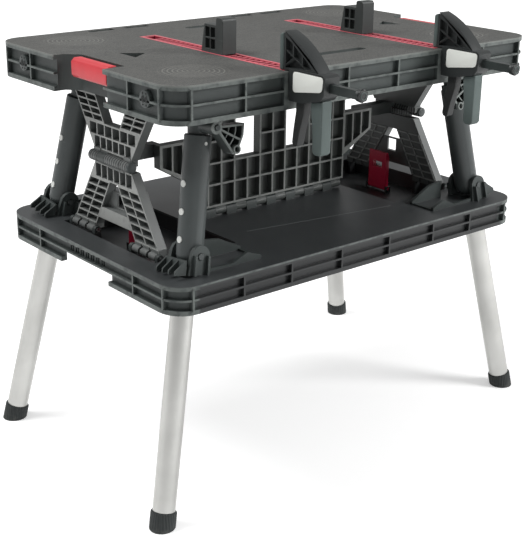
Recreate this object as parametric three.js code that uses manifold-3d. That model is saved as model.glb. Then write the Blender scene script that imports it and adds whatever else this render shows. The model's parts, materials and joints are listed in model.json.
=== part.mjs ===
// Folding workbench: a moulded top and a moulded base joined by bi-fold end panels, four
// swing-down posts and a swing-down web, standing on four fold-in aluminium legs.
// Millimetres, +Z up, floor at Z = 0, the clamps face -Y.
import * as THREE from 'three';
import { mergeVertices } from 'three/addons/utils/BufferGeometryUtils.js';
import Module from 'manifold-3d';

const wasm = await Module();
wasm.setup();

// Overall sizes
const width = 850;
const depth = 550;
const height = 755;
const topThick = 62;
const baseThick = 50;
const deckZ = 431;
const cornerR = 46;
const cornerRib = 37;
const outerRib = 142;
const middleRib = 247;
const innerRib = 365;
const endRib = 122;

// Moulded walls of the top and the base
const topSkin = 5;
const deckSkin = 4;
const bandDepth = 8;
const wallThick = 4;
const lipHeight = 8;
const ribThick = 3.5;
const seatGap = 0.3;
const runGap = 0.5;

// Facets of round pins, turned pieces and rounded corners
const pinSides = 8;
const knuckleSides = 10;
const turnSides = 24;
const arcSides = 4;
const domeSteps = 3;

// Posts: the axis leans inwards by these slopes, and meets the deck at these distances from its edges
const postInsetX = 74.5;
const postInsetY = 65.7;
const postLeanX = 0.185;
const postLeanY = 0.114;
const postR = 23;
const postPivotRise = 27;
const postHeadClear = 12.6;
const postHead = 88;
const postHeadR = 16;
const postPinR = 6;
const yokeEarThick = 7;
const yokeEarR = 19;
const yokeGap = 1.5;
const gussets = 4;
const gussetReach = 22;

// Locking levers on the posts
const leverBelowHead = 74;
const leverR = 56;
const leverArc = 59;
const leverThick = 26;
const leverPlate = 4;
const leverHubR = 11;
const leverPinR = 5;
const leverTubeR = 7.5;
const leverTubeBoreR = 5;
const leverTubeAt = 53;
const leverTubeAngle = 49;

// Cradles for the lying posts
const cradleGap = 2;
const cradleWall = 6;
const cradleFar = 134;
const cradleHigh = 17;
const cradleFloor = 3;

// Legs: the axis leans outwards on its way down
const legInsetX = 69.3;
const legInsetY = 66;
const legLeanX = 0.213;
const legLeanY = 0.116;
const legPivotDrop = 27.5;
const legR = 20;
const legWall = 2;
const legPinR = 5;
const legEarThick = 5;
const legShoulder = 22;
const legSpigot = 38;
const leftLegSplay = 0.0487;
const rightLegSplay = -0.081;
const footR = 23;
const footHeight = 30;
const footSole = 9;

// Bi-fold end panels
const panelInset = 65;
const panelFootRise = 2;
const panelHeadDrop = 38;
const panelThick = 18;
const panelSet = 2;
const panelFootIn = 64;
const panelFootOut = 134;
const panelWaist = 58;
const panelRise = 9;
const crossBarLow = 26;
const crossBarHigh = 48;
const windowHighHalf = 12;
const windowHigh = 100;
const windowHalf = 12;
const windowTall = 29;
const crotchHalf = 24;
const crotchHigh = 81;
const panelBack = 5;
const panelRib = 3;
const legPockets = 6;
const plateColumns = 6;
const plateCell = 20;
const footKnuckles = 3;
const knuckleGap = 6;
const footKnuckleR = 7;
const waistKnuckleR = 10;
const panelPinR = 4;
const lugThick = 8;

// Trays in the deck that take the folded end panels
const trayReach = 160;
const trayOutset = 16;
const trayEndGap = 5;
const trayDepth = 31.5;
const trayWall = 3;

// Web between the end panels, and the arm links that lap onto it
const webPinRise = 10;
const webPinR = 3.5;
const webKnuckleR = 8;
const webHalfThick = 10;
const webHalf = 190;
const webTop = 180;
const webBack = 5;
const wingReach = 265;
const wingLowNear = 68;
const wingLowFar = 104;
const wingTop = 147;
const webRib = 4;
const webFingerCount = 15;
const webFingerInset = 4;
const armNearY = 12;
const armFarY = 36;
const armHalfHeight = 12;
const armLap = 15;

// Red latches on the base
const latchSet = 44;
const latchMidY = 11;
const latchHalf = 25;
const latchPinRise = 7.5;
const latchHeight = 78;
const latchThick = 10;
const latchPinR = 3.5;

// Top: side notches, tracks, slots
const notchDepth = 44;
const notchRear = 73;
const notchFront = -83;
const notchChamfer = 22;
const trackX = 178;
const trackFrontGap = 1;
const trackRear = 147;
const trackWide = 30;
const trackDeep = 12;
const trackWall = 3;
const dogWide = 30;
const dogWedge = 42;
const dogBlock = 19;
const dogWedgeHigh = 49;
const dogHigh = 62;
const leftDogY = -69;
const rightDogY = -45;
const longSlotLong = 124;
const longSlotWide = 20;
const longSlotY = 185;
const toolSlotLong = 54;
const toolSlotWide = 15;
const toolSlotEdge = 1;

// Red grips in the side notches
const gripEarThick = 6;
const gripEndGap = 1;
const gripFrontGap = 18;
const gripPivotDrop = 9;
const gripPivotX = 7;
const gripThickX = 25;
const gripGapX = 1;
const gripPinR = 3;
const gripHigh = 33;

// Quick clamps on the front edge
const clampX = 182;
const clampThick = 32;
const jawThick = 26;
const barWide = 9;
const barHigh = 14;
const barDrop = 15;
const barSeat = 10;
const barReach = 154;
const barCapR = 10;
const frontClear = 2.5;
const jawIn = 13;
const padThick = 9;
const jawRecess = 9;
const triggerThick = 15;
const gripThick = 22;

// Finishes
function finish(color, roughness, metalness) {
  return new THREE.MeshStandardMaterial({ color, roughness, metalness });
}
const shellFinish = finish(0x4a504f, 0.6, 0);
const postFinish = finish(0x26292a, 0.5, 0);
const panelFinish = finish(0x6c6d6d, 0.6, 0);
const redFinish = finish(0xc8323e, 0.45, 0);
const aluminiumFinish = finish(0xc6c6c4, 0.35, 1);
const rubberFinish = finish(0x323636, 0.9, 0);
const steelFinish = finish(0x8c8f90, 0.4, 1);
const gripFinish = finish(0x626e6c, 0.7, 0);

// Values worked out from the sizes above
const topLowZ = height - topThick;
const topUnderZ = height - topSkin;
const baseLowZ = deckZ - baseThick;
const deckUnderZ = deckZ - deckSkin;
const shellWall = bandDepth + wallThick;
const postAtDeckX = width / 2 - postInsetX;
const postAtDeckY = depth / 2 - postInsetY;
const postRun = topUnderZ - postHeadClear - deckZ - postPivotRise;
const postLength = postRun * Math.hypot(1, postLeanX, postLeanY);
const leverPivotAlong = postLength - leverBelowHead;
const legAtDeckX = width / 2 - legInsetX;
const legAtDeckY = depth / 2 - legInsetY;
const panelX = width / 2 - panelInset;
const panelBaseZ = deckZ + panelFootRise;
const panelTopZ = height - panelHeadDrop;
const panelHalf = (panelTopZ - panelBaseZ) / 2;
const waistZ = panelBaseZ + panelHalf;
const trayInnerX = panelX - trayReach;
const trayOuterX = panelX + trayOutset;
const trayHalfY = panelFootOut + lugThick + trayEndGap;
const trayFloorZ = deckZ - trayDepth;
const latchX = panelX - latchSet;
const latchPivotZ = trayFloorZ + latchPinRise;
const latchTopZ = latchPivotZ + latchHeight;
const webPinZ = deckZ + webPinRise;
const armReach = wingReach - armLap;
const frontY = -depth / 2;
const trackFront = frontY + shellWall + trackFrontGap;
const gripPivotZ = height - gripPivotDrop;
const gripRear = notchRear - notchChamfer - gripEarThick - gripEndGap;
const gripFront = notchFront + gripFrontGap;
const barInnerY = frontY + barSeat;
const barOuterY = frontY - barReach;
const barZ = height - barDrop;
const xAxis = new THREE.Vector3(1, 0, 0);
const yAxis = new THREE.Vector3(0, 1, 0);
const zAxis = new THREE.Vector3(0, 0, 1);
const sides = [
  { name: 'left', sx: -1 },
  { name: 'right', sx: 1 },
];
const corners = [
  { name: 'front_left', sx: -1, sy: -1 },
  { name: 'front_right', sx: 1, sy: -1 },
  { name: 'rear_left', sx: -1, sy: 1 },
  { name: 'rear_right', sx: 1, sy: 1 },
];

// Solids from closed geometry, and geometry back from solids
function solid(geometry) {
  geometry.deleteAttribute('normal');
  geometry.deleteAttribute('uv');
  const merged = mergeVertices(geometry, 1e-4);
  return new wasm.Manifold(new wasm.Mesh({
    numProp: 3,
    vertProperties: new Float32Array(merged.attributes.position.array),
    triVerts: new Uint32Array(merged.index.array),
  }));
}

function geometryOf(shape) {
  const mesh = shape.getMesh();
  const geometry = new THREE.BufferGeometry();
  geometry.setAttribute('position', new THREE.BufferAttribute(mesh.vertProperties, 3));
  geometry.setIndex(new THREE.BufferAttribute(mesh.triVerts, 1));
  geometry.computeVertexNormals();
  return geometry;
}

const join = (...shapes) => shapes.flat().reduce((all, shape) => all.add(shape));
const cut = (shape, ...tools) => tools.flat().reduce((left, tool) => left.subtract(tool), shape);

// A box between two values on each axis, in either order
function box([xa, xb], [ya, yb], [za, zb]) {
  const geometry = new THREE.BoxGeometry(Math.abs(xb - xa), Math.abs(yb - ya), Math.abs(zb - za));
  return solid(geometry.translate((xa + xb) / 2, (ya + yb) / 2, (za + zb) / 2));
}

const outline = (points) => new THREE.Shape(points.map(([a, b]) => new THREE.Vector2(a, b)));

// Extrusions of an outline along Z, along Y (outline in X and Z) and along X (outline in Y and Z)
function alongZ(shape, low, high, curveSegments = arcSides) {
  const settings = { depth: high - low, bevelEnabled: false, curveSegments };
  return solid(new THREE.ExtrudeGeometry(shape, settings).translate(0, 0, low));
}

function alongY(shape, low, high, curveSegments = arcSides) {
  const settings = { depth: high - low, bevelEnabled: false, curveSegments };
  return solid(new THREE.ExtrudeGeometry(shape, settings).rotateX(Math.PI / 2).translate(0, high, 0));
}

function alongX(shape, low, high, curveSegments = arcSides) {
  const settings = { depth: high - low, bevelEnabled: false, curveSegments };
  const turn = new THREE.Matrix4().makeBasis(yAxis, zAxis, xAxis);
  return solid(new THREE.ExtrudeGeometry(shape, settings).applyMatrix4(turn).translate(low, 0, 0));
}

// A round bar between two points
function rod(from, to, radius, count = pinSides) {
  const start = new THREE.Vector3(...from);
  const end = new THREE.Vector3(...to);
  const along = end.clone().sub(start);
  const geometry = new THREE.CylinderGeometry(radius, radius, along.length(), count);
  const turn = new THREE.Quaternion().setFromUnitVectors(yAxis, along.clone().normalize());
  const middle = start.add(end).multiplyScalar(0.5);
  return solid(geometry.applyQuaternion(turn).translate(middle.x, middle.y, middle.z));
}

// A hole in which a pin turns: the flats of the hole clear the corners of the pin
function bore(from, to, pinR) {
  return rod(from, to, (pinR + seatGap) / Math.cos(Math.PI / pinSides));
}

// A turned piece about Z from a profile of radius and height, bottom to top
function turned(profile, count = turnSides) {
  const points = profile.map(([r, z]) => new THREE.Vector2(r, z));
  return solid(new THREE.LatheGeometry(points, count).rotateX(Math.PI / 2));
}

function moved(shape, matrix) {
  return solid(geometryOf(shape).applyMatrix4(matrix));
}

function roundedRectangle(wide, deep, radius) {
  const shape = new THREE.Shape();
  const x = wide / 2;
  const y = deep / 2;
  shape.moveTo(-x + radius, -y);
  shape.lineTo(x - radius, -y);
  shape.absarc(x - radius, -y + radius, radius, -Math.PI / 2, 0);
  shape.lineTo(x, y - radius);
  shape.absarc(x - radius, y - radius, radius, 0, Math.PI / 2);
  shape.lineTo(-x + radius, y);
  shape.absarc(-x + radius, y - radius, radius, Math.PI / 2, Math.PI);
  shape.lineTo(-x, -y + radius);
  shape.absarc(-x + radius, -y + radius, radius, Math.PI, 1.5 * Math.PI);
  return shape;
}

const inset = (by) => roundedRectangle(width - 2 * by, depth - 2 * by, cornerR - by);

// Scene graph
const workbench = new THREE.Group();
const bench = new THREE.Group();
workbench.add(bench);

function piece(name, shape, material, matrix = new THREE.Matrix4()) {
  const mesh = new THREE.Mesh(geometryOf(shape), material);
  mesh.name = name;
  mesh.applyMatrix4(matrix);
  bench.add(mesh);
}

// Ribbed outer wall shared by the top and the base: two lips, a middle rib and upright ribs
function ribbedSlab(low, high, ribsX, ribsY) {
  const bandLow = low + lipHeight;
  const bandHigh = high - lipHeight;
  const middle = (low + high) / 2;
  const ring = (by, from, to) => alongZ(inset(0), from, to).subtract(alongZ(inset(by), from - 1, to + 1));
  const body = alongZ(inset(0), low, high).subtract(ring(bandDepth, bandLow, bandHigh));
  const halfRib = ribThick / 2;
  const deepIn = bandDepth + wallThick / 2;
  const ribs = [];
  for (const x of ribsX) {
    for (const sy of [-1, 1]) {
      const wall = sy * depth / 2;
      ribs.push(box([x - halfRib, x + halfRib], [wall, wall - sy * deepIn], [bandLow - 1, bandHigh + 1]));
    }
  }
  for (const y of ribsY) {
    for (const sx of [-1, 1]) {
      const wall = sx * width / 2;
      ribs.push(box([wall, wall - sx * deepIn], [y - halfRib, y + halfRib], [bandLow - 1, bandHigh + 1]));
    }
  }
  const hollow = alongZ(inset(shellWall), low - 1, high - topSkin);
  return { body: join(body, ring(deepIn, middle - halfRib, middle + halfRib), ribs), hollow };
}

// Frame of one post: origin at its pivot, Z up the post, Y along the pivot pin, outwards
function postFrame({ sx, sy }) {
  const up = new THREE.Vector3(-sx * postLeanX, -sy * postLeanY, 1).normalize();
  const pin = new THREE.Vector3(0, sy, postLeanY).normalize();
  const across = new THREE.Vector3().crossVectors(pin, up);
  const matrix = new THREE.Matrix4().makeBasis(across, pin, up);
  matrix.setPosition(
    sx * (postAtDeckX - postLeanX * postPivotRise),
    sy * (postAtDeckY - postLeanY * postPivotRise),
    deckZ + postPivotRise,
  );
  return { matrix, inward: -sx * sy };
}

// Frame of one leg: origin at its pivot, Z up the leg, Y along the pivot pin
function legFrame({ sx, sy }) {
  const down = new THREE.Vector3(sx * legLeanX, sy * legLeanY, -1).normalize();
  const splay = sx < 0 ? leftLegSplay : rightLegSplay;
  const folded = new THREE.Vector3(-sx, sy * splay, 0).normalize();
  const pin = new THREE.Vector3().crossVectors(down, folded).normalize();
  const up = down.clone().negate();
  const across = new THREE.Vector3().crossVectors(pin, up);
  const matrix = new THREE.Matrix4().makeBasis(across, pin, up);
  const drop = legPivotDrop;
  const pivot = new THREE.Vector3(
    sx * (legAtDeckX + legLeanX * drop),
    sy * (legAtDeckY + legLeanY * drop),
    deckZ - drop,
  );
  matrix.setPosition(pivot);
  const outward = Math.sign(across.x * sx);
  return { matrix, outward, length: pivot.z / -down.z };
}

// Base: ribbed slab with a deck, two trays, yokes for the posts and ears for the legs
function yoke(corner) {
  const { matrix, inward } = postFrame(corner);
  const near = postR + yokeGap;
  const far = near + yokeEarThick;
  const sink = postPivotRise + deckSkin;
  const shape = new THREE.Shape();
  shape.moveTo(-yokeEarR - 4, -sink);
  shape.lineTo(yokeEarR + 4, -sink);
  shape.lineTo(yokeEarR, 0);
  shape.absarc(0, 0, yokeEarR, 0, Math.PI);
  const parts = [];
  for (const [low, high, rib] of [[-far, -near, -far - 7], [near, far, far + 7]]) {
    parts.push(alongY(shape, low, high, arcSides));
    for (const x of [-13, 13]) {
      parts.push(box([x - 2, x + 2], [(low + high) / 2, rib], [-sink, 2]));
    }
  }
  const back = near + yokeEarThick / 2;
  const stopX = -inward * (postR + 2);
  parts.push(box([stopX, stopX - inward * 4], [-back, back], [-sink, -6]));
  const gusset = outline([[1, -8], [4, -8], [gussetReach, 3 - postPivotRise], [gussetReach, -sink], [1, -sink]]
    .map(([out, up]) => [stopX - inward * out, up]));
  for (let i = 0; i < gussets; i += 1) {
    const y = (2 * back - ribThick) * (i / (gussets - 1)) - back;
    parts.push(alongY(gusset, y, y + ribThick));
  }
  const hole = bore([0, -far - 9, 0], [0, far + 9, 0], postPinR);
  return moved(cut(join(parts), hole), matrix);
}

function legEars(corner) {
  const { matrix, outward } = legFrame(corner);
  const near = legR + runGap;
  const far = near + legEarThick;
  const low = -legPinR - 7;
  const rise = 32;
  const halfEar = 14;
  const stopNear = outward * (legR + runGap);
  const stopFar = stopNear + outward * legEarThick;
  const ears = join(
    box([-halfEar, stopFar], [-far, -near], [low, rise]),
    box([-halfEar, stopFar], [near, far], [low, rise]),
    box([stopNear, stopFar], [-far, far], [low, rise]),
  );
  const wide = outward < 0 ? cut(ears, box([halfEar, halfEar + legR], [-far - 1, far + 1], [low, rise])) : ears;
  const hole = bore([0, -far - 1, 0], [0, far + 1, 0], legPinR);
  const reach = width;
  const underDeck = box([-reach, reach], [-reach, reach], [0, deckZ - deckSkin / 2]);
  return moved(cut(wide, hole), matrix).intersect(underDeck);
}

// A cradle on the deck that the lying post drops into: a low outer wall and a sloping inner wall
function cradle({ sx, sy }) {
  const lieY = postAtDeckY - postLeanY * postPivotRise;
  const inner = lieY - postR - cradleGap;
  const outer = lieY + postR + cradleGap;
  const wall = (points, from, to) => alongY(
    outline(points.map(([x, h]) => [sx * (postAtDeckX - x), deckZ + h])),
    Math.min(sy * from, sy * to), Math.max(sy * from, sy * to),
  );
  const end = [sx * (postAtDeckX - cradleFar), sx * (postAtDeckX - cradleFar + cradleWall)];
  return join(
    wall([[22, -1], [cradleFar, -1], [cradleFar, 6], [104, cradleHigh], [72, 4], [22, 6]],
      outer, outer + cradleWall),
    wall([[50, -1], [cradleFar, -1], [cradleFar, 6], [88, 29], [54, 34]], inner, inner - cradleWall),
    box(end, [sy * (inner - cradleWall), sy * (outer + cradleWall)], [deckZ - 1, deckZ + cradleFloor]),
  );
}

// Side view of a lug: straight from its root, with its two end corners cut off round the pin
function lugOutline(across, pinZ, radius, rootZ) {
  const away = Math.sign(pinZ - rootZ);
  const flat = radius * 0.4;
  return outline([
    [across - radius, rootZ], [across + radius, rootZ],
    [across + radius, pinZ + away * flat], [across + flat, pinZ + away * radius],
    [across - flat, pinZ + away * radius], [across - radius, pinZ + away * flat],
  ]);
}

// Lugs that carry one panel pin at its two feet
function panelLugs(sx, pinZ, rootZ) {
  const parts = [];
  const toRoot = Math.sign(rootZ - pinZ);
  for (const sy of [-1, 1]) {
    for (const y of [panelFootIn - 1 - lugThick, panelFootOut + 1]) {
      const low = Math.min(sy * y, sy * (y + lugThick));
      parts.push(alongY(lugOutline(sx * panelX, pinZ, footKnuckleR, rootZ + toRoot), low, low + lugThick));
    }
  }
  const reach = panelFootOut + lugThick + 10;
  return cut(join(parts), bore([sx * panelX, -reach, pinZ], [sx * panelX, reach, pinZ], panelPinR));
}

// Fingers of the web's hinge, which the knuckles of the web and the lugs of the deck share in turn
const webFingers = Array.from({ length: webFingerCount }, (_, i) => {
  const pitch = (2 * (webHalf - webFingerInset) + runGap) / webFingerCount;
  const from = webFingerInset - webHalf + pitch * i;
  return [from, from + pitch - runGap];
});

function webHinge() {
  const side = lugOutline(0, webPinZ, webKnuckleR, deckZ - 1);
  const lugs = webFingers.filter((_, i) => i % 2 === 1).map(([from, to]) => alongX(side, from, to));
  return cut(join(lugs), bore([-webHalf, 0, webPinZ], [webHalf, 0, webPinZ], webPinR));
}

function latchLugs(sx) {
  const lugs = [-1, 1].map((s) => {
    const near = sx * latchMidY + s * (latchHalf + 1);
    const span = [near, near + s * 5];
    return box([sx * (latchX - 6), sx * (latchX + 6)], span, [trayFloorZ - 1, latchPivotZ + 5]);
  });
  const from = [sx * latchX, sx * latchMidY - latchHalf - 9, latchPivotZ];
  const to = [sx * latchX, sx * latchMidY + latchHalf + 9, latchPivotZ];
  return cut(join(lugs), bore(from, to, latchPinR));
}

// Hand cut-out and grille in each end wall of the base
function endOpenings(sx) {
  const wall = [sx * (width / 2 - shellWall - 1), sx * (width / 2 + 1)];
  const hand = box(wall, [-78, 78], [baseLowZ - 1, baseLowZ + 21]);
  const slots = [];
  for (let i = -3; i <= 3; i += 1) {
    slots.push(box(wall, [i * 17 - 5, i * 17 + 5], [baseLowZ + 26.5, deckZ - 7]));
  }
  return [hand, ...slots];
}

const fromEdges = (span, insets) => insets.flatMap((by) => [by - span / 2, span / 2 - by]);
const frontRibs = fromEdges(width, [cornerRib, outerRib, middleRib, innerRib]);
const topRibs = fromEdges(width, [cornerRib, outerRib, innerRib]);
const endRibs = fromEdges(depth, [cornerRib, endRib]);

function baseTray() {
  const { body } = ribbedSlab(baseLowZ, deckZ, frontRibs, endRibs);
  const hollow = alongZ(inset(shellWall), baseLowZ - 1, deckUnderZ);
  let base = body.subtract(hollow);
  for (const { sx } of sides) {
    const outer = [sx * (trayInnerX - trayWall), sx * (trayOuterX + trayWall)];
    const halfY = trayHalfY + trayWall;
    const trayLow = trayFloorZ - trayWall;
    base = base.add(box(outer, [-halfY, halfY], [trayLow, deckUnderZ + 1]));
    const inner = [sx * trayInnerX, sx * trayOuterX];
    base = base.subtract(box(inner, [-trayHalfY, trayHalfY], [trayFloorZ, deckZ + 1]));
    base = join(base, panelLugs(sx, panelBaseZ, trayFloorZ), latchLugs(sx));
    base = cut(base, endOpenings(sx));
  }
  return join(base, webHinge(), corners.flatMap((c) => [yoke(c), legEars(c), cradle(c)]));
}
piece('base_tray', baseTray(), shellFinish);

// Legs: a hinged plastic head, an aluminium tube and a rubber foot cut flat on the floor
for (const corner of corners) {
  const { matrix, length } = legFrame(corner);
  const dome = [];
  for (let i = 0; i < domeSteps; i += 1) {
    const angle = (i / domeSteps) * Math.PI / 2;
    dome.push([legR * Math.cos(angle), legR * Math.sin(angle)]);
  }
  dome.push([0, legR]);
  const spigotR = legR - legWall - seatGap;
  const spigotLow = -legShoulder - legSpigot;
  const tubeHigh = -legShoulder - seatGap;
  const tubeLow = -length + footSole;
  const pinReach = legR + runGap + legEarThick + 2;
  const head = join(
    turned([[0, spigotLow], [spigotR, spigotLow], [spigotR, -legShoulder], [legR, -legShoulder], ...dome]),
    rod([0, -pinReach, 0], [0, pinReach, 0], legPinR),
  );
  piece(`leg_head_${corner.name}`, head, postFinish, matrix);
  const tube = turned([
    [legR - legWall, tubeLow], [legR, tubeLow], [legR, tubeHigh], [legR - legWall, tubeHigh],
    [legR - legWall, tubeLow],
  ]);
  piece(`leg_tube_${corner.name}`, tube, aluminiumFinish, matrix);
  const boreR = legR + seatGap;
  const footHigh = -length + footHeight;
  const below = -length - footR;
  const cap = moved(turned([
    [0, below], [footR, below], [footR, footHigh - 3], [footR - 1.5, footHigh],
    [boreR, footHigh], [boreR, tubeLow - seatGap], [0, tubeLow - seatGap],
  ]), matrix);
  const reach = width;
  const sole = cut(cap, box([-reach, reach], [-reach, reach], [-reach, 0]));
  piece(`leg_foot_${corner.name}`, sole, rubberFinish);
}

// Posts and their locking levers
for (const corner of corners) {
  const { matrix, inward } = postFrame(corner);
  const round = [];
  for (let i = 1; i <= domeSteps; i += 1) {
    const angle = (i / domeSteps - 1) * Math.PI / 2;
    round.push([postR * Math.cos(angle), postR * Math.sin(angle)]);
  }
  const collar = postLength - postHead;
  const pinReach = postR + yokeGap + yokeEarThick + 2;
  const leverNear = postR + runGap;
  const leverFar = leverNear + leverThick;
  const z = leverPivotAlong;
  const post = join(
    turned([[0, -postR], ...round, [postR, collar - 2], [postR - 2, collar], [postHeadR, collar],
      [postHeadR, postLength - 4], [postHeadR - 4, postLength], [0, postLength]]),
    rod([0, -pinReach, 0], [0, pinReach, 0], postPinR),
    rod([0, 0, z], [0, postR, z], leverHubR, knuckleSides),
    rod([0, 0, z], [0, leverFar + 3, z], leverPinR),
  );
  piece(`post_${corner.name}`, post, postFinish, matrix);

  // The sector hangs level with the floor at its upper edge, so it is turned back by the post's lean
  const lean = THREE.MathUtils.radToDeg(Math.atan(postLeanX));
  const at = (angle, radius) => {
    const turn = THREE.MathUtils.degToRad(lean + angle);
    return [inward * radius * Math.cos(turn), z + radius * Math.sin(turn)];
  };
  const arcSteps = 3;
  const sector = (from, to, near, far) => {
    const rim = [];
    const back = [];
    for (let i = 0; i <= arcSteps; i += 1) {
      const angle = from + ((to - from) * i) / arcSteps;
      rim.push(at(angle, far));
      back.unshift(at(angle, near));
    }
    return outline([...rim, ...back]);
  };
  const spoke = (angle) => {
    const [x, y] = at(angle, leverR - 2);
    const side = THREE.MathUtils.degToRad(lean + angle + 90);
    const dx = inward * 1.75 * Math.cos(side);
    const dz = 1.75 * Math.sin(side);
    return outline([[dx, z + dz], [x + dx, y + dz], [x - dx, y - dz], [-dx, z - dz]]);
  };
  const [tubeX, tubeZ] = at(-leverTubeAngle, leverTubeAt);
  const tubeHigh = leverFar + 4;
  const lever = cut(
    join(
      alongY(sector(0, -leverArc, 4, leverR), leverNear, leverNear + leverPlate),
      alongY(sector(0, -leverArc, leverR - 3.5, leverR), leverNear, leverFar),
      [2, leverArc / 2, leverArc - 2].map((angle) => alongY(spoke(-angle), leverNear, leverFar)),
      rod([0, leverNear, z], [0, leverFar, z], leverHubR, knuckleSides),
      rod([tubeX, leverNear, tubeZ], [tubeX, tubeHigh, tubeZ], leverTubeR, knuckleSides),
    ),
    bore([0, leverNear - 1, z], [0, leverFar + 1, z], leverPinR),
    rod([tubeX, leverNear + 8, tubeZ], [tubeX, tubeHigh + 1, tubeZ], leverTubeBoreR, knuckleSides),
  );
  piece(`lock_lever_${corner.name}`, lever, postFinish, matrix);
}

// One half of an end panel: two ribbed legs, foot knuckles and waist knuckles. It stands on its foot
// pins and reaches up to the waist; turn = -1 hangs it from the top.
function panelHalfSolid(sx, footZ, turn, waistSpans) {
  const z = (h) => footZ + turn * h;
  const waistTop = panelHalf - waistKnuckleR - 2;
  const near = sx * (panelX - panelSet);
  const far = near - sx * panelThick;
  const xLow = Math.min(near, far);
  const outerEdge = (h) => panelFootOut + ((panelWaist - panelFootOut) * (h - panelRise)) / (waistTop - panelRise);
  const innerTop = turn < 0 ? [crotchHalf, crotchHigh] : [windowHighHalf, windowHigh];
  const innerEdge = (h) => panelFootIn + ((innerTop[0] - panelFootIn) * (h - panelRise)) / (innerTop[1] - panelRise);
  const plan = outline([
    [-panelFootOut, panelRise], [-panelWaist, waistTop], [panelWaist, waistTop],
    [panelFootOut, panelRise], [panelFootIn, panelRise], innerTop, [-innerTop[0], innerTop[1]],
    [-panelFootIn, panelRise],
  ].map(([y, h]) => [y, z(h)]));
  let body = alongX(plan, xLow, xLow + panelThick);

  // Two columns of rib pockets up each leg, open on the outer face
  const pocketFloor = near - sx * (panelThick - panelBack);
  const pocketXs = [Math.min(pocketFloor, near + sx), Math.max(pocketFloor, near + sx)];
  const legLow = panelRise + 5;
  const legHigh = innerTop[1];
  const rise = (legHigh - legLow) / legPockets;
  for (const sy of [-1, 1]) {
    for (let i = 0; i < legPockets; i += 1) {
      const low = legLow + rise * i;
      const high = low + rise - panelRib;
      for (const [from, to] of [[0, 0.5], [0.5, 1]]) {
        const at = (h, share) => innerEdge(h) + (outerEdge(h) - innerEdge(h)) * share;
        const start = panelRib / 2 + (from ? 0 : panelRib / 2);
        const stop = panelRib / 2 + (from ? panelRib / 2 : 0);
        const cell = [
          [at(low, from) + start, low], [at(low, to) - stop, low],
          [at(high, to) - stop, high], [at(high, from) + start, high],
        ];
        body = body.subtract(alongX(outline(cell.map(([y, h]) => [sy * y, z(h)])), ...pocketXs));
      }
    }
  }

  // Rib pockets across the plate next to the waist
  const plateLow = legHigh + panelRib;
  const plateRows = Math.max(1, Math.round((waistTop - plateLow) / plateCell));
  const plateRise = (waistTop - plateLow) / plateRows;
  for (let row = 0; row < plateRows; row += 1) {
    const low = plateLow + plateRise * row;
    const high = low + plateRise - panelRib;
    const reach = Math.min(outerEdge(low), outerEdge(high)) - panelRib;
    const step = (2 * reach + panelRib) / plateColumns;
    for (let i = 0; i < plateColumns; i += 1) {
      const y = step * i - reach;
      body = body.subtract(box(pocketXs, [y, y + step - panelRib], [z(low), z(high)]));
    }
  }

  // Knuckles at the feet and at the waist
  const pinX = sx * panelX;
  const inner = pinX - sx * (panelSet + panelThick);
  const parts = [body];
  const footLow = panelFootIn + runGap;
  const footHigh = panelFootOut - runGap;
  const pitch = (footHigh - footLow + knuckleGap) / footKnuckles;
  for (const sy of [-1, 1]) {
    for (let i = 0; i < footKnuckles; i += 1) {
      const span = [sy * (footLow + pitch * i), sy * (footLow + pitch * (i + 1) - knuckleGap)];
      parts.push(rod([pinX, span[0], footZ], [pinX, span[1], footZ], footKnuckleR, knuckleSides));
      parts.push(box([inner, pinX], span, [z(0), z(panelRise + 3)]));
    }
  }
  const waist = z(panelHalf);
  for (const span of waistSpans) {
    parts.push(rod([pinX, span[0], waist], [pinX, span[1], waist], waistKnuckleR, turnSides));
    parts.push(box([inner + sx * 4, pinX], span, [waist, z(waistTop - 3)]));
  }
  const reach = panelFootOut + 10;
  const hole = (atZ) => bore([pinX, -reach, atZ], [pinX, reach, atZ], panelPinR);
  return cut(join(parts), hole(footZ), hole(waist));
}

// Bay let in between the legs of a lower half: a cross bar and a thin back plate with a window
function panelBay(sx) {
  const slope = (windowHighHalf - panelFootIn) / (windowHigh - panelRise);
  const half = (h) => panelFootIn + slope * (h - panelRise) - seatGap;
  const sill = crossBarHigh + windowTall;
  const slab = (low, high, thick) => {
    const plan = outline([
      [-half(low), low], [half(low), low], [half(high), high], [-half(high), high],
    ].map(([y, h]) => [y, panelBaseZ + h]));
    const far = sx * (panelX - panelSet - panelThick);
    const near = far + sx * thick;
    return alongX(plan, Math.min(near, far), Math.max(near, far));
  };
  const through = [sx * panelX, sx * (panelX - panelSet - panelThick - 1)];
  const bar = slab(crossBarLow, crossBarHigh, panelThick);
  const plate = slab(crossBarLow, sill + panelRib, panelBack);
  const opening = box(through, [-windowHalf, windowHalf],
    [panelBaseZ + crossBarHigh + panelRib, panelBaseZ + sill]);
  return cut(join(bar, plate), opening);
}

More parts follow.
